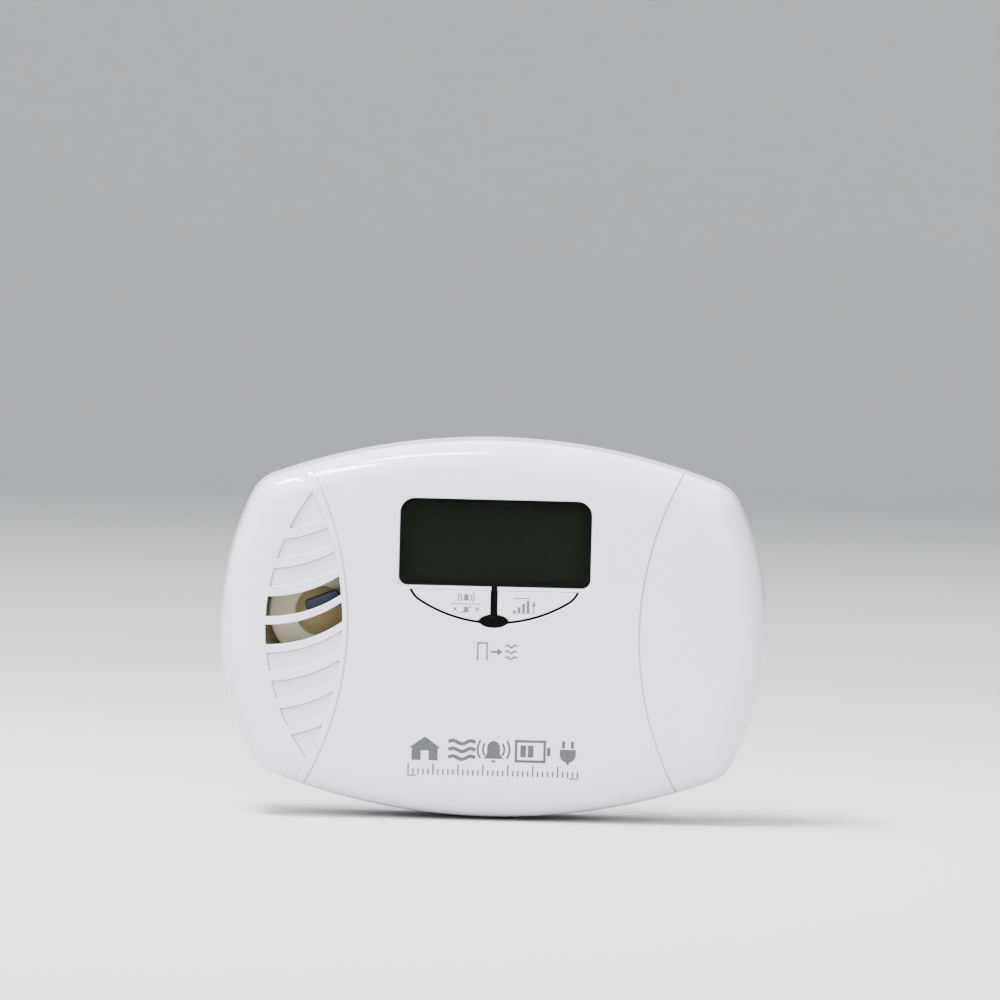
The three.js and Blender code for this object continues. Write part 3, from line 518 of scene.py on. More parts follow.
def front_shell():
    """The front cover: a relief surface, its rolled rim and side wall, and the inner skin."""
    opening = opening_polygon()
    slots = [gap_polygon(top, low, 0.0) for top, low in SLOTS]
    layout = Layout()
    for inset in (0.0, 0.06, 0.2, 0.45, 0.8, 1.3, 2.0, 2.8, 3.7, 4.8, 6.0, 7.4):
        layout.path(outline(FACE_DRAFT + inset))
    layout.path(opening)
    for grow in (0.1, 0.22, 0.45, 0.71, 0.79, 0.87, 1.0, 1.3):
        layout.path(subdivided(window_shape(grow), 2.0))
    for grow in (0.08, 0.18, 0.3, 0.42):
        layout.path(field_path(grow, FIELD_TOP + 0.6), False)
        layout.path(oval_arc(OVAL_ACROSS + grow, OVAL_UP + grow, 180, 360, 28), False)
    for top, low in SLOTS:
        for shrink in (0.0, -0.07, -0.15, -0.24, -0.36):
            layout.path(gap_polygon(top, low, shrink, 0.8))
    for top, low in POCKETS:
        for shrink in (0.5, 0.3, 0.2, 0.1, 0.0, -0.03, -0.07, -0.16):
            layout.path(gap_polygon(top, low, shrink, 1.0))
    for side, middle in ((-1, 0), (1, 180)):
        for grow in (-0.36, -0.21, -0.17, -0.13, 0.13, 0.17, 0.21, 0.36):
            seam = arc(side * SEAM_CENTRE, 0, SEAM_ARC + grow, middle - 38, middle + 38, 150)
            layout.path(seam, False)
    for side in (-1, 1):
        for grow in (-0.32, -0.2, -0.1, 0.0, 0.1, 0.2, 0.32):
            crease = arc(LEAF_RIGHT_CENTRE, 0, LEAF_RIGHT_ARC + grow, side * 28.2, side * 42, 40)
            layout.path(crease, False)

    def clear(x, z):
        """Room for a plain grid point: inside the rim and away from every feature."""
        if inside_of(x, z)[0] < 9.2 or window_distance(x, z)[0] < 2.2:
            return False
        if abs(x) < FIELD_REACH and z < 13 and field_distance(x, z) < 1.2:
            return False
        return seam_distance(x, z) >= 1.2 and leaf_distance(x, z) > 0.9

    layout.dots(grid_dots(2.6, clear))
    edge = outline(FACE_DRAFT)

    def keep(x, z):
        if not contains(edge, x, z):
            return False
        if abs(x) < FIELD_REACH and contains(opening, x, z):
            return False
        return not (x < GRILLE_RIGHT and any(contains(slot, x, z) for slot in slots))

    flat, faces = triangulated(layout.points, layout.edges, keep)
    bm = bmesh.new()
    used = sorted({i for f in faces for i in f})
    outer = {i: bm.verts.new(place(flat[i].x, flat[i].y)) for i in used}
    for f in faces:
        bm.faces.new([outer[i] for i in f])
    loops = boundary_loops(faces)
    rim = max(loops, key=lambda loop: max(flat[i].x for i in loop))
    holes = [loop for loop in loops if loop is not rim]

    def inner(x, z):
        depth, _ = face(x, z, FACE_DRAFT + WALL, WALL)
        return Vector((x, -depth, z)) * MM

    # The inner skin shares the holes' points with the face.
    skin = Layout()
    skin_edge = outline(FACE_DRAFT + WALL, SKIN_STEPS)
    skin.path(skin_edge)
    for inset in (0.6, 1.6, 3.2, 5.4, 8.5):
        skin.dots(outline(FACE_DRAFT + WALL + inset, SKIN_STEPS))
    for hole in holes:
        skin.path([(flat[i].x, flat[i].y) for i in hole])

    def keep_skin(x, z):
        return contains(skin_edge, x, z) and not (
            contains(opening, x, z) or any(contains(slot, x, z) for slot in slots))

    skin_flat, skin_faces = triangulated(skin.points, skin.edges, keep_skin)
    skin_verts = {i: bm.verts.new(inner(skin_flat[i].x, skin_flat[i].y))
                  for i in sorted({i for f in skin_faces for i in f})}
    for f in skin_faces:
        bm.faces.new([skin_verts[i] for i in reversed(f)])
    skin_loops = boundary_loops(skin_faces)
    skin_rim = max(skin_loops, key=lambda loop: max(skin_flat[i].x for i in loop))

    for hole in holes:
        ring = [outer[i] for i in hole]
        lower = [bm.verts.new(inner(flat[i].x, flat[i].y)) for i in hole]
        stitch(bm, lower, ring)

    # The side wall, from the rolled rim to a rounded edge at the parting line.
    start = PARTING + 0.22

    def wall_point(i, depth, margin):
        x, z = flat[i].x, flat[i].y
        distance, out = inside_of(x, z)
        top = face(x, z)[0]
        share = (depth - start) / (top - start)
        move = distance - margin - FACE_DRAFT * share - seam_depth(x, z)
        return Vector((x + out.x * move, -depth, z + out.y * move)) * MM

    rows = [[outer[i] for i in rim]]
    for depth, margin in ((26.0, 0), (24.5, 0), (23.0, 0), (21.6, 0), (start + 0.4, 0),
                          (start + 0.2, 0.05), (start + 0.06, 0.16), (start, 0.32)):
        rows.append([bm.verts.new(wall_point(i, depth, margin)) for i in rim])
    for upper, lower in zip(rows, rows[1:]):
        stitch(bm, lower, upper)
    skin_low = []
    for i in skin_rim:
        distance, out = inside_of(skin_flat[i].x, skin_flat[i].y)
        move = distance - WALL
        skin_low.append(bm.verts.new(Vector((skin_flat[i].x + out.x * move, -start,
                                             skin_flat[i].y + out.y * move)) * MM))
    stitch(bm, [skin_verts[i] for i in skin_rim], skin_low)

    # The flat edge that meets the rear half.
    lip = Layout()
    lip_outer, lip_inner = ([(v.co.x / MM, v.co.z / MM) for v in ring]
                            for ring in (rows[-1], skin_low))
    lip.path(lip_outer)
    lip.path(lip_inner)
    lip_flat, lip_faces = triangulated(lip.points, lip.edges, lambda x, z: contains(
        lip_outer, x, z) and not contains(lip_inner, x, z))
    lip_verts = {i: bm.verts.new(Vector((lip_flat[i].x, -start, lip_flat[i].y)) * MM)
                 for i in sorted({i for f in lip_faces for i in f})}
    for f in lip_faces:
        bm.faces.new([lip_verts[i] for i in reversed(f)])
    bmesh.ops.remove_doubles(bm, verts=bm.verts, dist=2e-7)
    bmesh.ops.recalc_face_normals(bm, faces=bm.faces)
    return new_object("front_shell", bm, 38)


def stitch(bm, lower, upper):
    """Quads between two rings of the same length."""
    count = len(lower)
    for i in range(count):
        k = (i + 1) % count
        bm.faces.new([lower[i], lower[k], upper[k], upper[i]])


def prism(bm, rings):
    """A closed solid through rings of (x, y, z) in millimetres, capped at both ends."""
    made = [[bm.verts.new(Vector(p) * MM) for p in ring] for ring in rings]
    for lower, upper in zip(made, made[1:]):
        stitch(bm, lower, upper)
    bm.faces.new(list(reversed(made[0])))
    bm.faces.new(made[-1])
    return made


def slab_rings(shape, levels):
    """Rings of a flat shape at depths, each grown by an amount: levels are (depth, grow)."""
    return [[(x, -depth, z) for x, z in grown(shape, grow)] for depth, grow in levels]


def side_rings(shape, places):
    """Rings of a (depth, z) shape at several x."""
    return [[(x, -depth, z) for depth, z in shape] for x in places]


def grown(shape, amount):
    """A polygon moved outwards by amount along its corners' mean normals."""
    if not amount:
        return shape
    made = []
    count = len(shape)
    for i in range(count):
        (ax, az), (bx, bz), (cx, cz) = shape[i - 1], shape[i], shape[(i + 1) % count]
        first = Vector((bz - az, ax - bx))
        second = Vector((cz - bz, bx - cx))
        first.normalize()
        second.normalize()
        mean = (first + second).normalized()
        scale = amount / max(0.35, mean.dot(first))
        made.append((bx + mean.x * scale, bz + mean.y * scale))
    return made


def solid(name, ring_sets, smooth_angle=32.0):
    """One object of several closed prisms."""
    bm = bmesh.new()
    for rings in ring_sets:
        prism(bm, rings)
    bmesh.ops.recalc_face_normals(bm, faces=bm.faces)
    return new_object(name, bm, smooth_angle)


def cut(obj, cutter, operation="DIFFERENCE"):
    """Applies an exact boolean and removes the cutter."""
    modifier = obj.modifiers.new("cut", "BOOLEAN")
    modifier.object = cutter
    modifier.operation = operation
    modifier.solver = "EXACT"
    bpy.context.view_layer.update()
    graph = bpy.context.evaluated_depsgraph_get()
    made = bpy.data.meshes.new_from_object(obj.evaluated_get(graph))
    obj.modifiers.clear()
    old = obj.data
    obj.data = made
    bpy.data.meshes.remove(old)
    bpy.data.objects.remove(cutter)
    return obj


def reshade(obj, angle):
    """Merges the doubles that a boolean leaves, and shades the mesh again."""
    bm = bmesh.new()
    bm.from_mesh(obj.data)
    bmesh.ops.remove_doubles(bm, verts=bm.verts, dist=1e-6)
    shade(bm, angle)
    bm.to_mesh(obj.data)
    bm.free()
    return obj


# ---------------------------------------------------------------- rear cover and drawer

DRAWER_Z, DRAWER_HALF, DRAWER_REAR, DRAWER_FRONT, DRAWER_FACE = -8.0, 16.2, 2.1, 18.0, 64.7
DRAWER_LOW, DRAWER_HIGH = DRAWER_Z - DRAWER_HALF, DRAWER_Z + DRAWER_HALF
DRAWER_CLEAR, DRAWER_WALL, TRAY_LEFT = 0.25, 1.2, 8.0
CELL_OFFSET, CONTACT_RADIUS = 7.35, 5.4
NOTCH_DEPTH, NOTCH_RADIUS = 10, 4.9
BEYOND_CASE = 84.0
DRAFT = 1.3
REAR_LEVELS = [(PARTING, 0.3), (PARTING - 0.06, 0.15), (PARTING - 0.2, 0.04), (PARTING - 0.45, 0.0)]
EDGE_LEVELS = [(2.4, 0.0), (1.6, 0.08), (1.0, 0.28), (0.5, 0.62), (0.18, 1.05), (0.0, 1.6)]
FLARE = [(-1.0, 0.45), (0.0, 0.45), (0.12, 0.2), (0.4, 0.0)]
SCREW_X, SCREW_Z, POST_RADIUS, SCREW_HEAD_RADIUS, SCREW_HOLE_RADIUS = 49.0, 33.5, 4.2, 3.0, 1.5


def rear_inset(depth):
    """How far the side wall has moved in at a depth, by its draft."""
    return DRAFT * (1 - depth / PARTING)


def case_rings():
    """The rear half's outside, from the parting line to the rounded rear edge."""
    middle = [(depth, 0.0) for depth in (17.0, 13.5, 10.0, 6.5, 4.0)]
    return [[(x, -depth, z) for x, z in outline(rear_inset(depth) + extra)]
            for depth, extra in REAR_LEVELS + middle + EDGE_LEVELS]


def rear_shell():
    """The rear cover, with its openings cut by shapes that flare to a rounded edge."""
    obj = solid("rear_shell", [case_rings()])
    inner = [[(x, -depth, z) for x, z in outline(WALL + rear_inset(depth), (8, 6, 10))]
             for depth in (PARTING + 1, 12.0, 6.0, 1.8)]
    cut(obj, solid("hollow", [inner]))
    screws = [(x, z) for x in (-SCREW_X, SCREW_X) for z in (-SCREW_Z, SCREW_Z)]
    posts = [slab_rings(arc(x, z, POST_RADIUS, 0, 351, 39), [(0.9, 0), (PARTING - 0.5, 0)])
             for x, z in screws]
    cut(obj, solid("posts", posts), "UNION")
    openings = []
    for x, z in screws:
        openings.append(slab_rings(arc(x, z, SCREW_HEAD_RADIUS, 0, 352, 44), FLARE + [(10.0, 0.0)]))
        openings.append(slab_rings(arc(x, z, SCREW_HOLE_RADIUS, 0, 345, 23),
                                   [(9.9, 0.0), (PARTING + 2, 0.0)]))
    vents = [rounded_box(x - 1, x + 1, 12, 28, 0.98, 0.98, 6) for x in range(-54, -33, 5)]
    plug = rounded_box(-12.2, 12.2, 19.3, 32.7, 1.2, 1.2, 5)
    openings += [slab_rings(shape, FLARE + [(4.0, 0.0)]) for shape in vents + [plug]]
    label = rounded_box(-38, 38, -38, -12, 1.5, 1.5, 5)
    openings.append(slab_rings(label, [(-1.0, 0.2), (0.0, 0.2), (0.08, 0.05), (0.4, 0.0)]))
    cut(obj, solid("openings", openings))
    side = rounded_box(DRAWER_REAR - DRAWER_CLEAR, DRAWER_FRONT + DRAWER_CLEAR,
                       DRAWER_LOW - DRAWER_CLEAR, DRAWER_HIGH + DRAWER_CLEAR, 0.9, 0.9, 5)
    cut(obj, solid("drawer_opening", [side_rings(side, (58, 82))]))
    return reshade(obj, 30)


def battery_drawer():
    """The drawer: an open tray for the cells behind a face that closes the case's side."""
    obj = solid("drawer", [case_rings()])
    side = rounded_box(DRAWER_REAR, DRAWER_FRONT, DRAWER_LOW, DRAWER_HIGH, 0.75, 0.75, 6)
    cut(obj, solid("keep", [side_rings(side, (DRAWER_FACE, BEYOND_CASE))]), "INTERSECT")
    notch = []
    for x, share in ((68.9, 0.72), (69.15, 0.86), (69.8, 0.97), (80, 1.3)):
        circle = arc(NOTCH_DEPTH, DRAWER_Z, NOTCH_RADIUS * share, 0, 352.5, 47)
        notch.append([(x, -depth, z) for depth, z in circle])
    grip = [notch]
    for offset in (-12.6, -11.0, -9.4, 9.4, 11.0, 12.6):
        middle = DRAWER_Z + offset
        ridge = rounded_box(6.0, 14.0, middle - 0.35, middle + 0.35, 0.34, 0.34, 3)
        grip.append(side_rings(ridge, (69.7 - 0.012 * offset ** 2, 80)))
    cut(obj, solid("grip", grip))
    front = DRAWER_FRONT - DRAWER_WALL
    tray = rounded_box(TRAY_LEFT, DRAWER_FACE + 0.8, DRAWER_LOW, DRAWER_HIGH, 0.6, 0.6, 3)
    cut(obj, solid("tray", [slab_rings(tray, [(DRAWER_REAR, -0.3), (DRAWER_REAR + 0.3, 0),
                                              (front - 0.2, 0), (front, -0.15)])]), "UNION")
    well = rounded_box(TRAY_LEFT + DRAWER_WALL, DRAWER_FACE, DRAWER_LOW + DRAWER_WALL,
                       DRAWER_HIGH - DRAWER_WALL, 0.5, 0.5, 3)
    cut(obj, solid("well", [slab_rings(well, [(DRAWER_REAR + DRAWER_WALL, 0.0), (19.5, 0.0)])]))
    holes = [side_rings(arc(10.6, z, CONTACT_RADIUS, 0, 352.5, 47), (7, 10.6))
             for z in (DRAWER_Z - CELL_OFFSET, DRAWER_Z + CELL_OFFSET)]
    cut(obj, solid("contact_holes", holes))
    return reshade(obj, 30)


# ---------------------------------------------------------------- window, indicator and buttons

def window_lens():
    """The smoked window with the flange that holds it from behind."""
    levels = [(34.6, 0), (LENS_DEPTH - 0.15, 0), (LENS_DEPTH - 0.04, -0.06), (LENS_DEPTH, -0.18)]
    obj = solid("window_lens", [slab_rings(window_shape(-0.12), levels)])
    back = rounded_box(-26.0, 26.0, 11.4, 34.8, 1.5, 1.5, 4)
    cut(obj, solid("flange", [slab_rings(back, [(33.85, 0), (34.3, 0)])]), "UNION")
    return reshade(obj, 10)


def indicator_lens():
    """The dark oval lens and its stem, proud of the window and just under the face."""
    across, up = OVAL_ACROSS - LENS_CLEAR, OVAL_UP - LENS_CLEAR
    levels = [(31.6, 1.0), (36.9, 1.0), (37.15, 0.965), (37.3, 0.88), (37.38, 0.7), (37.42, 0.35)]
    rings = [[(x, -depth, z) for x, z in oval_arc(across * share, up * share, 0, 360, 56)[:-1]]
             for depth, share in levels]
    obj = solid("indicator_lens", [rings])
    half = STEM_HALF - LENS_CLEAR
    stem = rounded_box(-half, half, OVAL_Z, WINDOW["low"] + 0.3, 0.2, 0.2, 3)
    rings = slab_rings(stem, [(34.5, 0), (36.95, 0), (37.03, -0.04), (37.08, -0.12)])
    cut(obj, solid("stem", [rings]), "UNION")
    return reshade(obj, 36)


def gap_shade(name, side):
    """Painted shadow: a black piece sunk in the gap between one button and the front cover, where
    the gap is shaded.
    """
    top, inner, outer = FIELD_TOP - 0.3, -BUTTON_EDGE_GAP + 0.04, -0.04

    def half_path(grow):
        return [(side * x, z) for x, z in field_path(grow, top)
                if x > 0 and beyond_oval(x, z, OVAL_ACROSS - 0.15, OVAL_UP - 0.15)]

    near, far = half_path(inner), half_path(outer)
    shape = far + near[::-1]
    if side < 0:
        shape = shape[::-1]
    return solid(name, [slab_rings(shape, [(34.6, 0), (GAP_SHADE_DEPTH, 0)])], 40)


def cap_depth(x, z):
    """The depth of a button's top at (x, z)."""
    return BUTTON_DEPTH - crown(x, z)


def button(name, side):
    """One button cap: a half of the lens-shaped field, with softly rounded edges."""
    top, inner = FIELD_TOP - 0.09, STEM_HALF + 0.1

    def outline_at(shrink):
        """The right-hand cap's outline, shrunk, from its top left corner."""
        high, left = top - shrink, inner + shrink
        clear_x, clear_z = OVAL_ACROSS + 0.3 + shrink, OVAL_UP + 0.3 + shrink
        lower = [p for p in field_path(-BUTTON_EDGE_GAP - shrink, high)
                 if p[0] > 0 and beyond_oval(*p, clear_x, clear_z)]
        reach = FIELD_ARC - BUTTON_EDGE_GAP - shrink
        oval = [p for p in oval_arc(clear_x, clear_z, 90, 0, 24)
                if p[0] > left and math.hypot(p[0], p[1] - FIELD_Z) < reach]
        return [(left, high), (left, oval[0][1])] + oval + lower

    def tracked(shrink):
        """Points that keep to the same places along the outline however far it shrinks."""
        shape = outline_at(shrink)
        corner = shape.index(max(shape, key=lambda p: p[0]))
        runs = [(shape[:2], 10), (shape[1:corner + 1], 90), ([shape[corner], shape[0]], 36)]
        made = []
        for run, count in runs:
            steps = [0.0]
            for a, b in zip(run, run[1:]):
                steps.append(steps[-1] + math.dist(a, b))
            k = 0
            for i in range(count):
                target = steps[-1] * i / count
                while k + 2 < len(steps) and steps[k + 1] < target:
                    k += 1
                share = (target - steps[k]) / max(1e-9, steps[k + 1] - steps[k])
                a, b = run[k], run[k + 1]
                made.append((a[0] + (b[0] - a[0]) * share, a[1] + (b[1] - a[1]) * share))
        return made

    levels = [(3.2, 0.0), (0.75, 0.0), (0.3, 0.02), (0.14, 0.06), (0.05, 0.14), (0.0, 0.28),
              (-0.012, 0.6)]
    rings = []
    for below, shrink in levels:
        ring = [(side * x, below - cap_depth(x, z), z) for x, z in tracked(shrink)]
        rings.append(ring if side > 0 else ring[::-1])
    obj = solid(name, [rings], 40)
    post = solid("post", [slab_rings(arc(side * 11, 7, 2.0, 0, 345, 23), [(27.9, 0), (34.6, 0)])])
    cut(obj, post, "UNION")
    return reshade(obj, 40)


# ---------------------------------------------------------------- prints

INK_LIFT, INK_SUNK = 0.03, -0.09


def face_depth(x, z):
    """The depth of the front face at (x, z)."""
    return face(x, z)[0]


def print_solid(name, shapes, depth_at):
    """Flat shapes printed on a surface: each a thin closed solid that follows it."""
    bm = bmesh.new()
    for shape in shapes:
        prism(bm, [[(x, -(depth_at(x, z) + rise), z) for x, z in shape]
                   for rise in (INK_SUNK, INK_LIFT)])
    bmesh.ops.recalc_face_normals(bm, faces=bm.faces)
    bmesh.ops.triangulate(bm, faces=[f for f in bm.faces if len(f.verts) > 4])
    return new_object(name, bm, 30)


def stroke(points, width):
    """An open line as a polygon of constant width."""
    left, right = [], []
    count = len(points)
    for i, (x, z) in enumerate(points):
        a, b = points[max(0, i - 1)], points[min(count - 1, i + 1)]
        direction = Vector((b[0] - a[0], b[1] - a[1])).normalized()
        normal = Vector((-direction.y, direction.x)) * width / 2
        left.append((x + normal.x, z + normal.y))
        right.append((x - normal.x, z - normal.y))
    return right + left[::-1]


def ring_strokes(x, z, radius, width, start=0, end=360, count=28):
    """An arc band in quads, each its own polygon, so that a full ring stays simple."""
    step = (end - start) / count
    made = []
    for i in range(count):
        a0, a1 = start + step * i, start + step * (i + 1)
        out = arc(x, z, radius + width / 2, a0, a1, 1)
        back = arc(x, z, radius - width / 2, a1, a0, 1)
        made.append(out + back)
    return made


def moved(shapes, x, z, size=1.0):
    """Shapes scaled by size and moved to (x, z)."""
    return [[(x + px * size, z + pz * size) for px, pz in shape] for shape in shapes]


BELL = [[(-0.62, -0.5), (0.62, -0.5), (0.4, -0.2)] + arc(0, 0.2, 0.4, 0, 180, 12) + [(-0.4, -0.2)],
        arc(0, -0.6, 0.14, 180, 360, 8)]


def wave(x, z, length, width, rise, turns=2.0):
    """A wavy stroke from x along the given length."""
    count = int(12 * turns)
    return stroke([(x + length * i / count, z + rise * math.sin(2 * math.pi * turns * i / count))
                   for i in range(count + 1)], width)


def ringing(x, z, size, width):
    """Sound arcs on both sides of a bell."""
    shapes = []
    for side in (0, 180):
        for radius in (1.0, 1.5):
            shapes += ring_strokes(x, z, radius * size, width, side - 35, side + 35, 8)
    return shapes


def left_button_marks():
    """A ringing bell over a silenced one, with a thin line between them."""
    shapes = moved(BELL, -7.2, 8.3, 1.5) + ringing(-7.2, 8.3, 1.35, 0.3)
    shapes.append(stroke([(-11.1, 6.62), (-3.3, 6.62)], 0.2))
    shapes += moved(BELL, -7.2, 5.15, 1.4)
    shapes.append(stroke([(-8.6, 4.2), (-5.8, 6.1)], 0.26))
    shapes += [stroke([(x, 4.75), (x + 1.0, 5.75)], 0.26) for x in (-10.6, -4.8)]
    shapes += [stroke([(x, 5.75), (x + 1.0, 4.75)], 0.26) for x in (-10.6, -4.8)]
    return shapes


def right_button_marks():
    """Rising bars with a mark over the tallest: the highest level stored."""
    shapes = []
    for k, height in enumerate((0.9, 1.7, 2.6, 3.4)):
        x = 5.35 + 1.15 * k
        shapes.append(rounded_box(x - 0.38, x + 0.38, 4.4, 4.4 + height, 0.06, 0.06, 2))
    shapes.append(stroke([(4.9, 8.35), (9.3, 8.35)], 0.26))
    shapes.append([(9.7, 6.4), (10.9, 6.4), (10.3, 7.7)])
    shapes.append(stroke([(10.3, 4.4), (10.3, 6.6)], 0.34))
    return shapes


def air_marks():
    """A doorway, an arrow out of it and moving air."""
    shapes = [stroke([(-3.9, -7.9), (-3.9, -3.3)], 0.42),
              stroke([(-4.1, -3.35), (-1.3, -3.35)], 0.42),
              stroke([(-1.5, -3.3), (-1.5, -7.9)], 0.42),
              stroke([(-0.6, -5.6), (1.3, -5.6)], 0.5)]
    shapes.append([(1.1, -6.6), (2.6, -5.6), (1.1, -4.6)])
    shapes += [wave(3.2, -4.1 - 1.5 * row, 3.0, 0.42, 0.3, 1.5) for row in range(3)]
    return shapes


def emblem_marks():
    """Plain pictograms in a row: a home, moving air, a bell, a battery and a plug."""
    z = -31.2
    home = [(-3.4, -2.9), (-1.0, -2.9), (-1.0, -0.4), (1.0, -0.4), (1.0, -2.9), (3.4, -2.9),
            (3.4, 0.3), (4.2, 0.3), (0.0, 3.3), (-4.2, 0.3), (-3.4, 0.3)]
    shapes = moved([home], -17.0, z)
    shapes += [wave(-10.9, z + 2.0 - 2.0 * row, 7.0, 0.95, 0.42, 1.5) for row in range(3)]
    shapes += moved(BELL, 0.8, z, 4.2) + ringing(0.8, z + 0.3, 2.75, 0.55)
    left, right, low, high = 6.6, 14.0, z - 2.6, z + 2.6
    corners = [(left, low), (right, low), (right, high), (left, high)]
    for a, b in zip(corners, corners[1:] + corners[:1]):
        back = Vector((b[0] - a[0], b[1] - a[1])).normalized() * -0.35
        shapes.append(stroke([(p[0] + back.x, p[1] + back.y) for p in (a, b)], 0.7))
    shapes.append(rounded_box(right + 0.6, right + 1.5, z - 1.1, z + 1.1, 0.2, 0.2, 3))
    shapes += [rounded_box(x, x + 1.5, z - 1.55, z + 1.55, 0.1, 0.1, 2) for x in (7.7, 9.65)]
    plug = [(-2.1, 0.7), (-2.1, -0.6)] + arc(0, -0.6, 2.1, 180, 360, 14) + [(2.1, 0.7)]
    pins = [[(x - 0.4, 1.0), (x + 0.4, 1.0), (x + 0.4, 2.9), (x - 0.4, 2.9)]
            for x in (-1.15, 1.15)]
    lead = [stroke([(0, -2.5), (0, -3.3)], 0.7)]
    return shapes + moved([plug[::-1]] + pins + lead, 20.0, z)


def scale_marks():
    """A fine scale under the pictograms: a rule with long and short ticks."""
    foot, first, pitch = -37.8, -21.2, 1.29
    shapes = [stroke([(-21.4, foot - 0.25), (22.8, foot - 0.25)], 0.34)]
    for k in range(35):
        x = first + pitch * k
        shapes.append(stroke([(x, foot), (x, foot + (1.5 if k % 5 else 2.9))], 0.42))
    return shapes


# ---------------------------------------------------------------- small visible parts

HORN_X, HORN_Z = -44.9, 3.4
LEAD_RADIUS = 0.3
BLADE_Z, BLADE_HALF_WIDTH, BLADE_HOLE_Y, BLADE_HOLE_RADIUS = 26, 3.175, 11.9, 1.6
CAPACITOR_PLACE = Matrix.Translation(Vector((-44.2, 0, 5.9)) * MM) @ Matrix.Rotation(-0.36, 4, "Y")


def horn_ring():
    """The cream horn housing with softened edges and a stepped sound port."""
    bm = bmesh.new()
    profile = [(12.2, 22.0), (13.4, 22.0), (13.4, 28.2), (13.25, 28.5), (12.95, 28.68),
               (12.6, 28.7), (7.1, 28.7), (6.75, 28.62), (6.55, 28.4), (6.5, 28.1), (6.35, 27.9),
               (6.3, 27.6), (6.3, 27.3), (12.2, 27.3)]    # (radius, depth)
    count = 96
    rings = []
    for i in range(count):
        a = 2 * math.pi * i / count
        ring = [(HORN_X + r * math.cos(a), -d, HORN_Z + r * math.sin(a)) for r, d in profile]
        rings.append([bm.verts.new(Vector(p) * MM) for p in ring])
    for i in range(count):
        stitch(bm, rings[i], rings[(i + 1) % count])
    bmesh.ops.recalc_face_normals(bm, faces=bm.faces)
    return new_object("horn_ring", bm, 28)


def blue_capacitor():
    """The dipped body of the blue capacitor that lies over the horn."""
    bm = bmesh.new()
    body = rounded_box(-4.55, 4.75, -2.08, 2.08, 0.9, 0.9, 6)
    levels = [(29.05, -0.6), (29.2, -0.25), (29.6, 0), (32.3, 0), (32.75, -0.25), (32.95, -0.7)]
    prism(bm, slab_rings(body, levels))
    bmesh.ops.recalc_face_normals(bm, faces=bm.faces)
    bm.transform(CAPACITOR_PLACE)
    return new_object("blue_capacitor", bm, 34)


def capacitor_leads():
    """Tinned leads of the blue capacitor, bent down to the board."""
    bm = bmesh.new()
    for z in (-1.2, 1.2):
        path = [(4.6, 31.0), (9.0, 31.0), (13.5, 30.7), (16.2, 29.8), (17.4, 28.0), (17.6, 25.0),
                (17.6, 22.0)]
        rings = []
        for i, (x, d) in enumerate(path):
            a, b = path[max(0, i - 1)], path[min(len(path) - 1, i + 1)]
            along = Vector((b[0] - a[0], -(b[1] - a[1]), 0)).normalized()
            up = along.cross(Vector((0, 0, 1)))
            circle = arc(0.0, 0.0, LEAD_RADIUS, 0, 330, 11)
            rings.append([(x + up.x * u, -d + up.y * u, z + v) for u, v in circle])
        prism(bm, rings)
    bmesh.ops.recalc_face_normals(bm, faces=bm.faces)
    bm.transform(CAPACITOR_PLACE)
    return new_object("capacitor_leads", bm, 40)


def blade(name, x):
    """A plug blade with chamfered edges, a tapered tip and its hole."""
    shape = rounded_box(-16.0, 17.0, -BLADE_HALF_WIDTH, BLADE_HALF_WIDTH, 1.0, 1.0, 6)
    levels = [(-0.75, -0.28), (-0.5, -0.05), (-0.35, 0.0), (0.35, 0.0), (0.5, -0.05), (0.75, -0.28)]
    obj = solid(name, [[[(x + side, y, BLADE_Z + z) for y, z in grown(shape, grow)]
                        for side, grow in levels]])
    flared = [(-0.9, 1.16), (-0.7, 1.12), (-0.5, 1.0), (0.5, 1.0), (0.7, 1.12), (0.9, 1.16)]
    rings = []
    for side, share in flared:
        hole = arc(BLADE_HOLE_Y, BLADE_Z, BLADE_HOLE_RADIUS * share, 0, 350, 35)
        rings.append([(x + side, y, z) for y, z in hole])
    cut(obj, solid("hole", [rings]))
    return reshade(obj, 24)


# ---------------------------------------------------------------- materials

RELIEF_HEIGHT, ROUGH_SCALE = 0.0002, 400.0


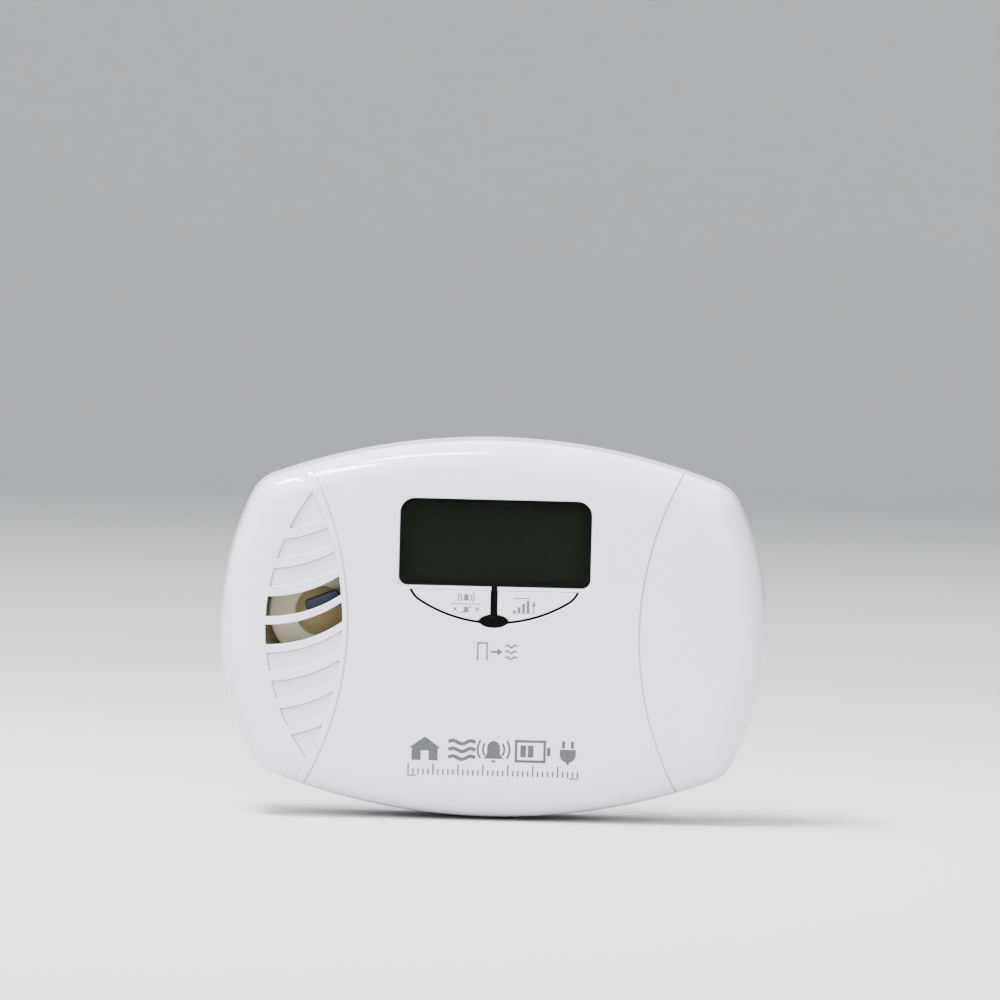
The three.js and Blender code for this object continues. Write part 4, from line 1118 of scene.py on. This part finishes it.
def material(name, colour, roughness, metallic=0.0, *, tint=0.05, tint_scale=90.0,
             rough_vary=0.05, bump=0.02, bump_scale=2500.0, stretch=(1, 1, 1), **sockets):
    """A surface with a little variation of colour and gloss and a fine relief."""
    made = bpy.data.materials.new(name)
    made.use_nodes = True
    nodes, links = made.node_tree.nodes, made.node_tree.links
    shader = nodes["Principled BSDF"]
    shader.inputs["Metallic"].default_value = metallic
    for socket, value in sockets.items():
        shader.inputs[socket.replace("_", " ")].default_value = value
    where = nodes.new("ShaderNodeTexCoord")
    scale = nodes.new("ShaderNodeMapping")
    scale.inputs["Scale"].default_value = stretch
    links.new(where.outputs["Object"], scale.inputs["Vector"])

    def noise(fineness, detail):
        node = nodes.new("ShaderNodeTexNoise")
        node.inputs["Scale"].default_value = fineness
        node.inputs["Detail"].default_value = detail
        links.new(scale.outputs["Vector"], node.inputs["Vector"])
        return node.outputs["Fac"]

    ramp = nodes.new("ShaderNodeValToRGB")
    for element, position, share in zip(ramp.color_ramp.elements, (0.3, 0.7), (1 - tint, 1 + tint)):
        element.position = position
        element.color = (*[min(1.0, c * share) for c in colour], 1)
    links.new(noise(tint_scale, 4), ramp.inputs["Fac"])
    links.new(ramp.outputs["Color"], shader.inputs["Base Color"])
    vary = nodes.new("ShaderNodeMapRange")
    vary.inputs["To Min"].default_value = max(0.02, roughness - rough_vary)
    vary.inputs["To Max"].default_value = roughness + rough_vary
    links.new(noise(ROUGH_SCALE, 3), vary.inputs["Value"])
    links.new(vary.outputs["Result"], shader.inputs["Roughness"])
    relief = nodes.new("ShaderNodeBump")
    relief.inputs["Strength"].default_value = bump
    relief.inputs["Distance"].default_value = RELIEF_HEIGHT
    links.new(noise(bump_scale, 2), relief.inputs["Height"])
    links.new(relief.outputs["Normal"], shader.inputs["Normal"])
    return made


def opened(made):
    """A material's nodes and links, its shader and a node that gives X, Y and Z in metres."""
    nodes, links = made.node_tree.nodes, made.node_tree.links
    where = nodes.new("ShaderNodeTexCoord")
    split = nodes.new("ShaderNodeSeparateXYZ")
    links.new(where.outputs["Object"], split.inputs["Vector"])
    return nodes, links, nodes["Principled BSDF"], split


def banded(made, axis, stops):
    """Replaces the base colour by bands along an axis: stops are (place in metres, colour)."""
    nodes, links, shader, split = opened(made)
    low, high = stops[0][0], stops[-1][0]
    spread = nodes.new("ShaderNodeMapRange")
    spread.inputs["From Min"].default_value = low
    spread.inputs["From Max"].default_value = high
    links.new(split.outputs[axis], spread.inputs["Value"])
    ramp = nodes.new("ShaderNodeValToRGB")
    ramp.color_ramp.interpolation = "CONSTANT"
    elements = ramp.color_ramp.elements
    while len(elements) > 1:
        elements.remove(elements[-1])
    for k, (at, colour) in enumerate(stops[:-1]):
        position = (at - low) / (high - low)
        element = elements[0] if k == 0 else elements.new(position)
        element.position = position
        element.color = (*colour, 1)
    links.new(spread.outputs["Result"], ramp.inputs["Fac"])
    links.new(ramp.outputs["Color"], shader.inputs["Base Color"])
    return made


# The second colour is the smoked window's own colour, and also the painted shade at the display's
# border.
WHITE, SMOKE_AND_SHADE = (0.82, 0.81, 0.90), (0.006, 0.007, 0.005)


def olive_display():
    """The liquid crystal panel: olive in the middle, with painted shade that darkens it towards its
    border, where the recess shades it.
    """
    made = material("lcd_olive", (0.085, 0.15, 0.055), 0.5, tint=0.06, tint_scale=160, bump=0.0,
                    Specular_IOR_Level=0.1)
    nodes, links, shader, split = opened(made)

    def edge(axis, middle, half, soft):
        """1 in the middle of the panel, falling to 0 at half on both sides."""
        away = nodes.new("ShaderNodeMath")
        away.operation = "SUBTRACT"
        away.inputs[1].default_value = middle
        links.new(split.outputs[axis], away.inputs[0])
        size = nodes.new("ShaderNodeMath")
        size.operation = "ABSOLUTE"
        links.new(away.outputs[0], size.inputs[0])
        fade = nodes.new("ShaderNodeMapRange")
        fade.interpolation_type = "SMOOTHSTEP"
        fade.inputs["From Min"].default_value = half - soft
        fade.inputs["From Max"].default_value = half
        fade.inputs["To Min"].default_value = 1.0
        fade.inputs["To Max"].default_value = 0.0
        links.new(size.outputs[0], fade.inputs["Value"])
        return fade.outputs["Result"]

    both = nodes.new("ShaderNodeMath")
    both.operation = "MULTIPLY"
    links.new(edge("X", 0.0, 0.0245, 0.006), both.inputs[0])
    links.new(edge("Z", 0.0224, 0.0118, 0.005), both.inputs[1])
    # Painted shade: the olive fades to the near-black smoke colour towards the panel's border.
    mix = nodes.new("ShaderNodeMix")
    mix.data_type = "RGBA"
    old = shader.inputs["Base Color"].links[0].from_socket
    links.new(both.outputs[0], mix.inputs["Factor"])
    mix.inputs["A"].default_value = (*SMOKE_AND_SHADE, 1)
    links.new(old, mix.inputs["B"])
    links.new(mix.outputs["Result"], shader.inputs["Base Color"])
    return made


GREY_METAL, COPPER, BLACK = (0.45, 0.45, 0.46), (0.50, 0.23, 0.09), (0.02, 0.02, 0.022)
END = (0, 0, 0)     # the last stop only marks where the bands end
INK = dict(tint=0.12, bump=0.1, bump_scale=6000)
MATERIALS = dict(
    white=material("white_abs", WHITE, 0.12, tint=0.012, tint_scale=60, rough_vary=0.03, bump=0.03,
                   bump_scale=1800),
    white_texture=material("white_abs_back", WHITE, 0.38, tint=0.012, tint_scale=60,
                           rough_vary=0.04, bump=0.22, bump_scale=3600),
    button=material("button_abs", (0.835, 0.825, 0.905), 0.2, tint=0.01, bump=0.03,
                    bump_scale=1800),
    smoked=material("smoked_acrylic", SMOKE_AND_SHADE, 0.08, tint=0.02, rough_vary=0.015,
                    bump=0.0, Alpha=0.36, Specular_IOR_Level=0.07),
    # Black for the indicator lens, and painted shadow for the pieces in the gaps round the buttons.
    black_lens_and_gap_shade=material("black_acrylic_and_gap_shade", (0.001, 0.001, 0.0012), 0.3, tint=0.1, rough_vary=0.03,
                        bump=0.01, Specular_IOR_Level=0.04),
    ink=material("grey_ink", (0.095, 0.098, 0.105), 0.55, tint_scale=900, **INK),
    ink_fine=material("fine_grey_ink", (0.12, 0.123, 0.13), 0.55, tint_scale=900, **INK),
    ink_dark=material("emblem_ink", (0.075, 0.077, 0.08), 0.4, tint_scale=700, **INK),
    lcd=olive_display(),
    dark=material("dark_plastic", (0.018, 0.018, 0.02), 0.48, tint=0.15, bump=0.15),
    diffuser=material("light_guide", (0.72, 0.75, 0.66), 0.45, tint=0.03),
    rubber=banded(material("layered_rubber", (0.06, 0.06, 0.07), 0.8), "X",
                  [(-0.02 + 0.001 * k, BLACK if k % 2 else (0.22, 0.2, 0.17)) for k in range(30)]
                  + [(0.02, END)]),
    board=material("phenolic_board", (0.74, 0.50, 0.24), 0.55, tint=0.16, tint_scale=260,
                   stretch=(1, 1, 3), bump=0.2, bump_scale=1500),
    cream=material("cream_plastic", (0.50, 0.455, 0.32), 0.5, tint=0.03, tint_scale=200, bump=0.08),
    blue=material("blue_epoxy", (0.005, 0.014, 0.032), 0.6, tint=0.2, tint_scale=300, bump=0.25,
                  bump_scale=700),
    brass=material("lacquered_brass", (0.44, 0.33, 0.15), 0.55, 0.35, tint=0.08, stretch=(1, 1, 8),
                   bump=0.08, bump_scale=900),
    nickel=material("nickel_plate", (0.60, 0.585, 0.56), 0.24, 1.0, tint=0.03, stretch=(12, 1, 12),
                    rough_vary=0.08, bump=0.06, bump_scale=500),
    steel=material("zinc_plated_steel", (0.48, 0.49, 0.52), 0.34, 1.0, tint=0.05, bump=0.08),
    iron=banded(material("laminated_iron", (0.12, 0.125, 0.13), 0.5, 0.8, bump=0.2), "Y",
                [(-0.0175 + 0.0005 * k, (0.16, 0.165, 0.17) if k % 2 else (0.05, 0.05, 0.055))
                 for k in range(22)] + [(-0.0065, END)]),
    tape=banded(material("winding_tape", (0.72, 0.50, 0.07), 0.4), "Z",
                [(-0.0147, (0.72, 0.50, 0.07)), (-0.009, (0.64, 0.43, 0.05)),
                 (-0.003, (0.74, 0.52, 0.08)), (0.0027, END)]),
    label=material("label_film", (0.80, 0.80, 0.79), 0.5, tint=0.02, tint_scale=300, bump=0.1,
                   bump_scale=5000),
    black_sleeve=material("black_sleeve", (0.01, 0.01, 0.012), 0.42, tint=0.2),
    white_sleeve=material("white_sleeve", (0.72, 0.72, 0.70), 0.42, tint=0.03),
    led=material("red_led", (0.30, 0.012, 0.012), 0.12, tint=0.1, Transmission_Weight=0.5, IOR=1.5),
    upper_cell=banded(material("cell_jacket_upper", (0.05, 0.05, 0.055), 0.3, 0.3), "X",
                      [(0.0110, GREY_METAL), (0.0124, COPPER), (0.0260, BLACK),
                       (0.0598, GREY_METAL), (0.0622, END)]),
    lower_cell=banded(material("cell_jacket_lower", (0.05, 0.05, 0.055), 0.3, 0.3), "X",
                      [(0.0110, GREY_METAL), (0.0124, BLACK), (0.0470, COPPER),
                       (0.0605, GREY_METAL), (0.0622, END)]),
)

CAD_LOOKS = dict(
    dark=["test_silence_switch_body", "test_silence_switch_plunger", "peak_level_switch_body",
          "peak_level_switch_plunger", "lcd_holder", "microcontroller", "reservoir_capacitor",
          "blade_block"],
    lcd=["lcd_panel"], diffuser=["backlight_panel"], rubber=["connector_strip"], led=["alarm_led"],
    board=["circuit_board"], brass=["horn_disc"], cream=["gas_sensor_cap", "film_capacitor"],
    blue=["varistor"], iron=["transformer_core"], tape=["transformer_winding"],
    steel=["gas_sensor_can", "case_screw_1", "case_screw_2", "case_screw_3", "case_screw_4",
           "board_screw_1", "board_screw_2", "board_screw_3", "bridge_spring", "bay_spring"],
    nickel=["bridge_contact", "bay_contact", "bay_spring_plate"],
    label=["rating_label"], black_sleeve=["mains_lead_left"], white_sleeve=["mains_lead_right"],
    upper_cell=["battery_upper"], lower_cell=["battery_lower"],
)


def finish_piece(obj, look, body, slot, *nodes):
    """Gives a piece its look and its body, and says which CAD nodes it replaces; the slot is not
    used.
    """
    obj.data.materials.clear()
    obj.data.materials.append(MATERIALS[look])
    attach(obj, body)
    if nodes:
        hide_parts(*nodes)


for look, names in CAD_LOOKS.items():
    for node in names:
        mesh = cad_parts[node].data
        mesh.materials.clear()
        mesh.materials.append(MATERIALS[look])

finish_piece(front_shell(), "white", "housing", "white_abs", "front_cover")
finish_piece(rear_shell(), "white_texture", "housing", "white_abs", "rear_cover")
finish_piece(window_lens(), "smoked", "housing", "smoked_lens", "display_lens")
finish_piece(indicator_lens(), "black_lens_and_gap_shade", "housing", "smoked_lens")
# The gap pieces are painted shadow: black where the gaps round the buttons lie in shade.
for name, side in (("left_gap_shade", -1), ("right_gap_shade", 1)):
    finish_piece(gap_shade(name, side), "black_lens_and_gap_shade", "housing", "smoked_lens")
finish_piece(button("left_cap", -1), "button", "test_silence_button", "button_abs",
             "test_silence_button")
finish_piece(button("right_cap", 1), "button", "peak_level_button", "button_abs",
             "peak_level_button")
finish_piece(battery_drawer(), "white_texture", "battery_drawer", "white_abs", "battery_drawer")
finish_piece(horn_ring(), "cream", "housing", "cream_plastic", "horn_housing")
finish_piece(blue_capacitor(), "blue", "housing", "blue_epoxy", "horn_capacitor")
finish_piece(capacitor_leads(), "steel", "housing", "steel")
finish_piece(blade("left_blade", -6.35), "nickel", "housing", "nickel", "blade_left")
finish_piece(blade("right_blade", 6.35), "nickel", "housing", "nickel", "blade_right")

for name, shapes, depth_at, look, body in (
        ("air_pictogram", air_marks(), face_depth, "ink", "housing"),
        ("emblem", emblem_marks(), face_depth, "ink_dark", "housing"),
        ("scale", scale_marks(), face_depth, "ink", "housing"),
        ("silence_marks", left_button_marks(), cap_depth, "ink_fine", "test_silence_button"),
        ("level_marks", right_button_marks(), cap_depth, "ink_fine", "peak_level_button")):
    finish_piece(print_solid(name, shapes, depth_at), look, body, "dark_plastic")


# ---------------------------------------------------------------- stage, light and camera

def sweep():
    """A pale floor in metres that curves up into a wall all round, outside the camera's path."""
    bm = bmesh.new()
    floor, flat, bend, count = CAD_LOW.z - 0.0002, 2.4, 1.2, 96
    profile = [(radius, 0.0) for radius in (0.02, 0.3, 0.9, 1.6, flat)]
    profile += [(flat + bend * math.sin(a), bend - bend * math.cos(a))
                for a in [math.radians(7.5 * i) for i in range(1, 13)]]
    profile += [(flat + bend, 3.6)]
    turns = [2 * math.pi * i / count for i in range(count)]
    rings = [[bm.verts.new((r * math.cos(t), r * math.sin(t), floor + h)) for t in turns]
             for r, h in profile]
    for lower, upper in zip(rings, rings[1:]):
        stitch(bm, lower, upper)
    bm.faces.new(rings[0])
    bmesh.ops.recalc_face_normals(bm, faces=bm.faces)
    obj = new_object("sweep", bm, 60)
    obj.data.materials.append(material("pale_paper", (0.70, 0.70, 0.705), 0.8, tint=0.01))


def area_light(name, at, aim, width, height, power):
    """A rectangular soft light at a place, turned towards another; metres and watts."""
    light = bpy.data.lights.new(name, "AREA")
    light.shape = "RECTANGLE"
    light.size, light.size_y = width, height
    light.energy = power
    obj = bpy.data.objects.new(name, light)
    bpy.context.scene.collection.objects.link(obj)
    obj.location = at
    obj.rotation_euler = (Vector(aim) - Vector(at)).to_track_quat("-Z", "Y").to_euler()


sweep()
MIDDLE = Vector((0.0, -0.02, 0.0))
area_light("streak_left", (-0.33, -0.13, 0.86), MIDDLE, 0.60, 0.055, 18)
area_light("streak_right", (-0.13, -0.15, 0.86), MIDDLE, 0.28, 0.05, 7)
area_light("key", (-0.7, -1.2, 1.5), MIDDLE, 1.8, 1.4, 38)
area_light("front", (0.6, -1.5, 0.7), MIDDLE, 1.6, 1.2, 17)
area_light("back", (0.2, 1.2, 1.2), MIDDLE, 1.2, 1.0, 14)

world = bpy.data.worlds.new("studio")
bpy.context.scene.world = world
world.use_nodes = True
sky = world.node_tree.nodes["Background"]
sky.inputs["Color"].default_value = (0.95, 0.97, 1.0, 1)
sky.inputs["Strength"].default_value = 0.68

# The camera stands in front and a little above, and the object sits low in the frame and turned a
# little clockwise, as in a shot of the whole hanging card.
DISTANCE, ELEVATION, ROLL = 2.2, math.radians(2.0), math.radians(1.4)
VIEW_WIDTH, SENSOR = 0.2588, 36.0
OFFSET_RIGHT, OFFSET_UP = 0.0017, 0.0335
camera_data = bpy.data.cameras.new("camera")
camera = bpy.data.objects.new("camera", camera_data)
bpy.context.scene.collection.objects.link(camera)
bpy.context.scene.camera = camera
camera_data.sensor_width = SENSOR
camera_data.lens = SENSOR * DISTANCE / VIEW_WIDTH
camera_data.clip_start, camera_data.clip_end = 0.05, 20.0
back = Vector((0.0, -math.cos(ELEVATION), math.sin(ELEVATION)))
turn = (-back).to_track_quat("-Z", "Y").to_matrix().to_4x4() @ Matrix.Rotation(ROLL, 4, "Z")
right, up = turn.col[0].xyz, turn.col[1].xyz
target = Vector((0.0, -0.034, 0.0)) + right * OFFSET_RIGHT + up * OFFSET_UP
camera.matrix_world = Matrix.Translation(target + back * DISTANCE) @ turn
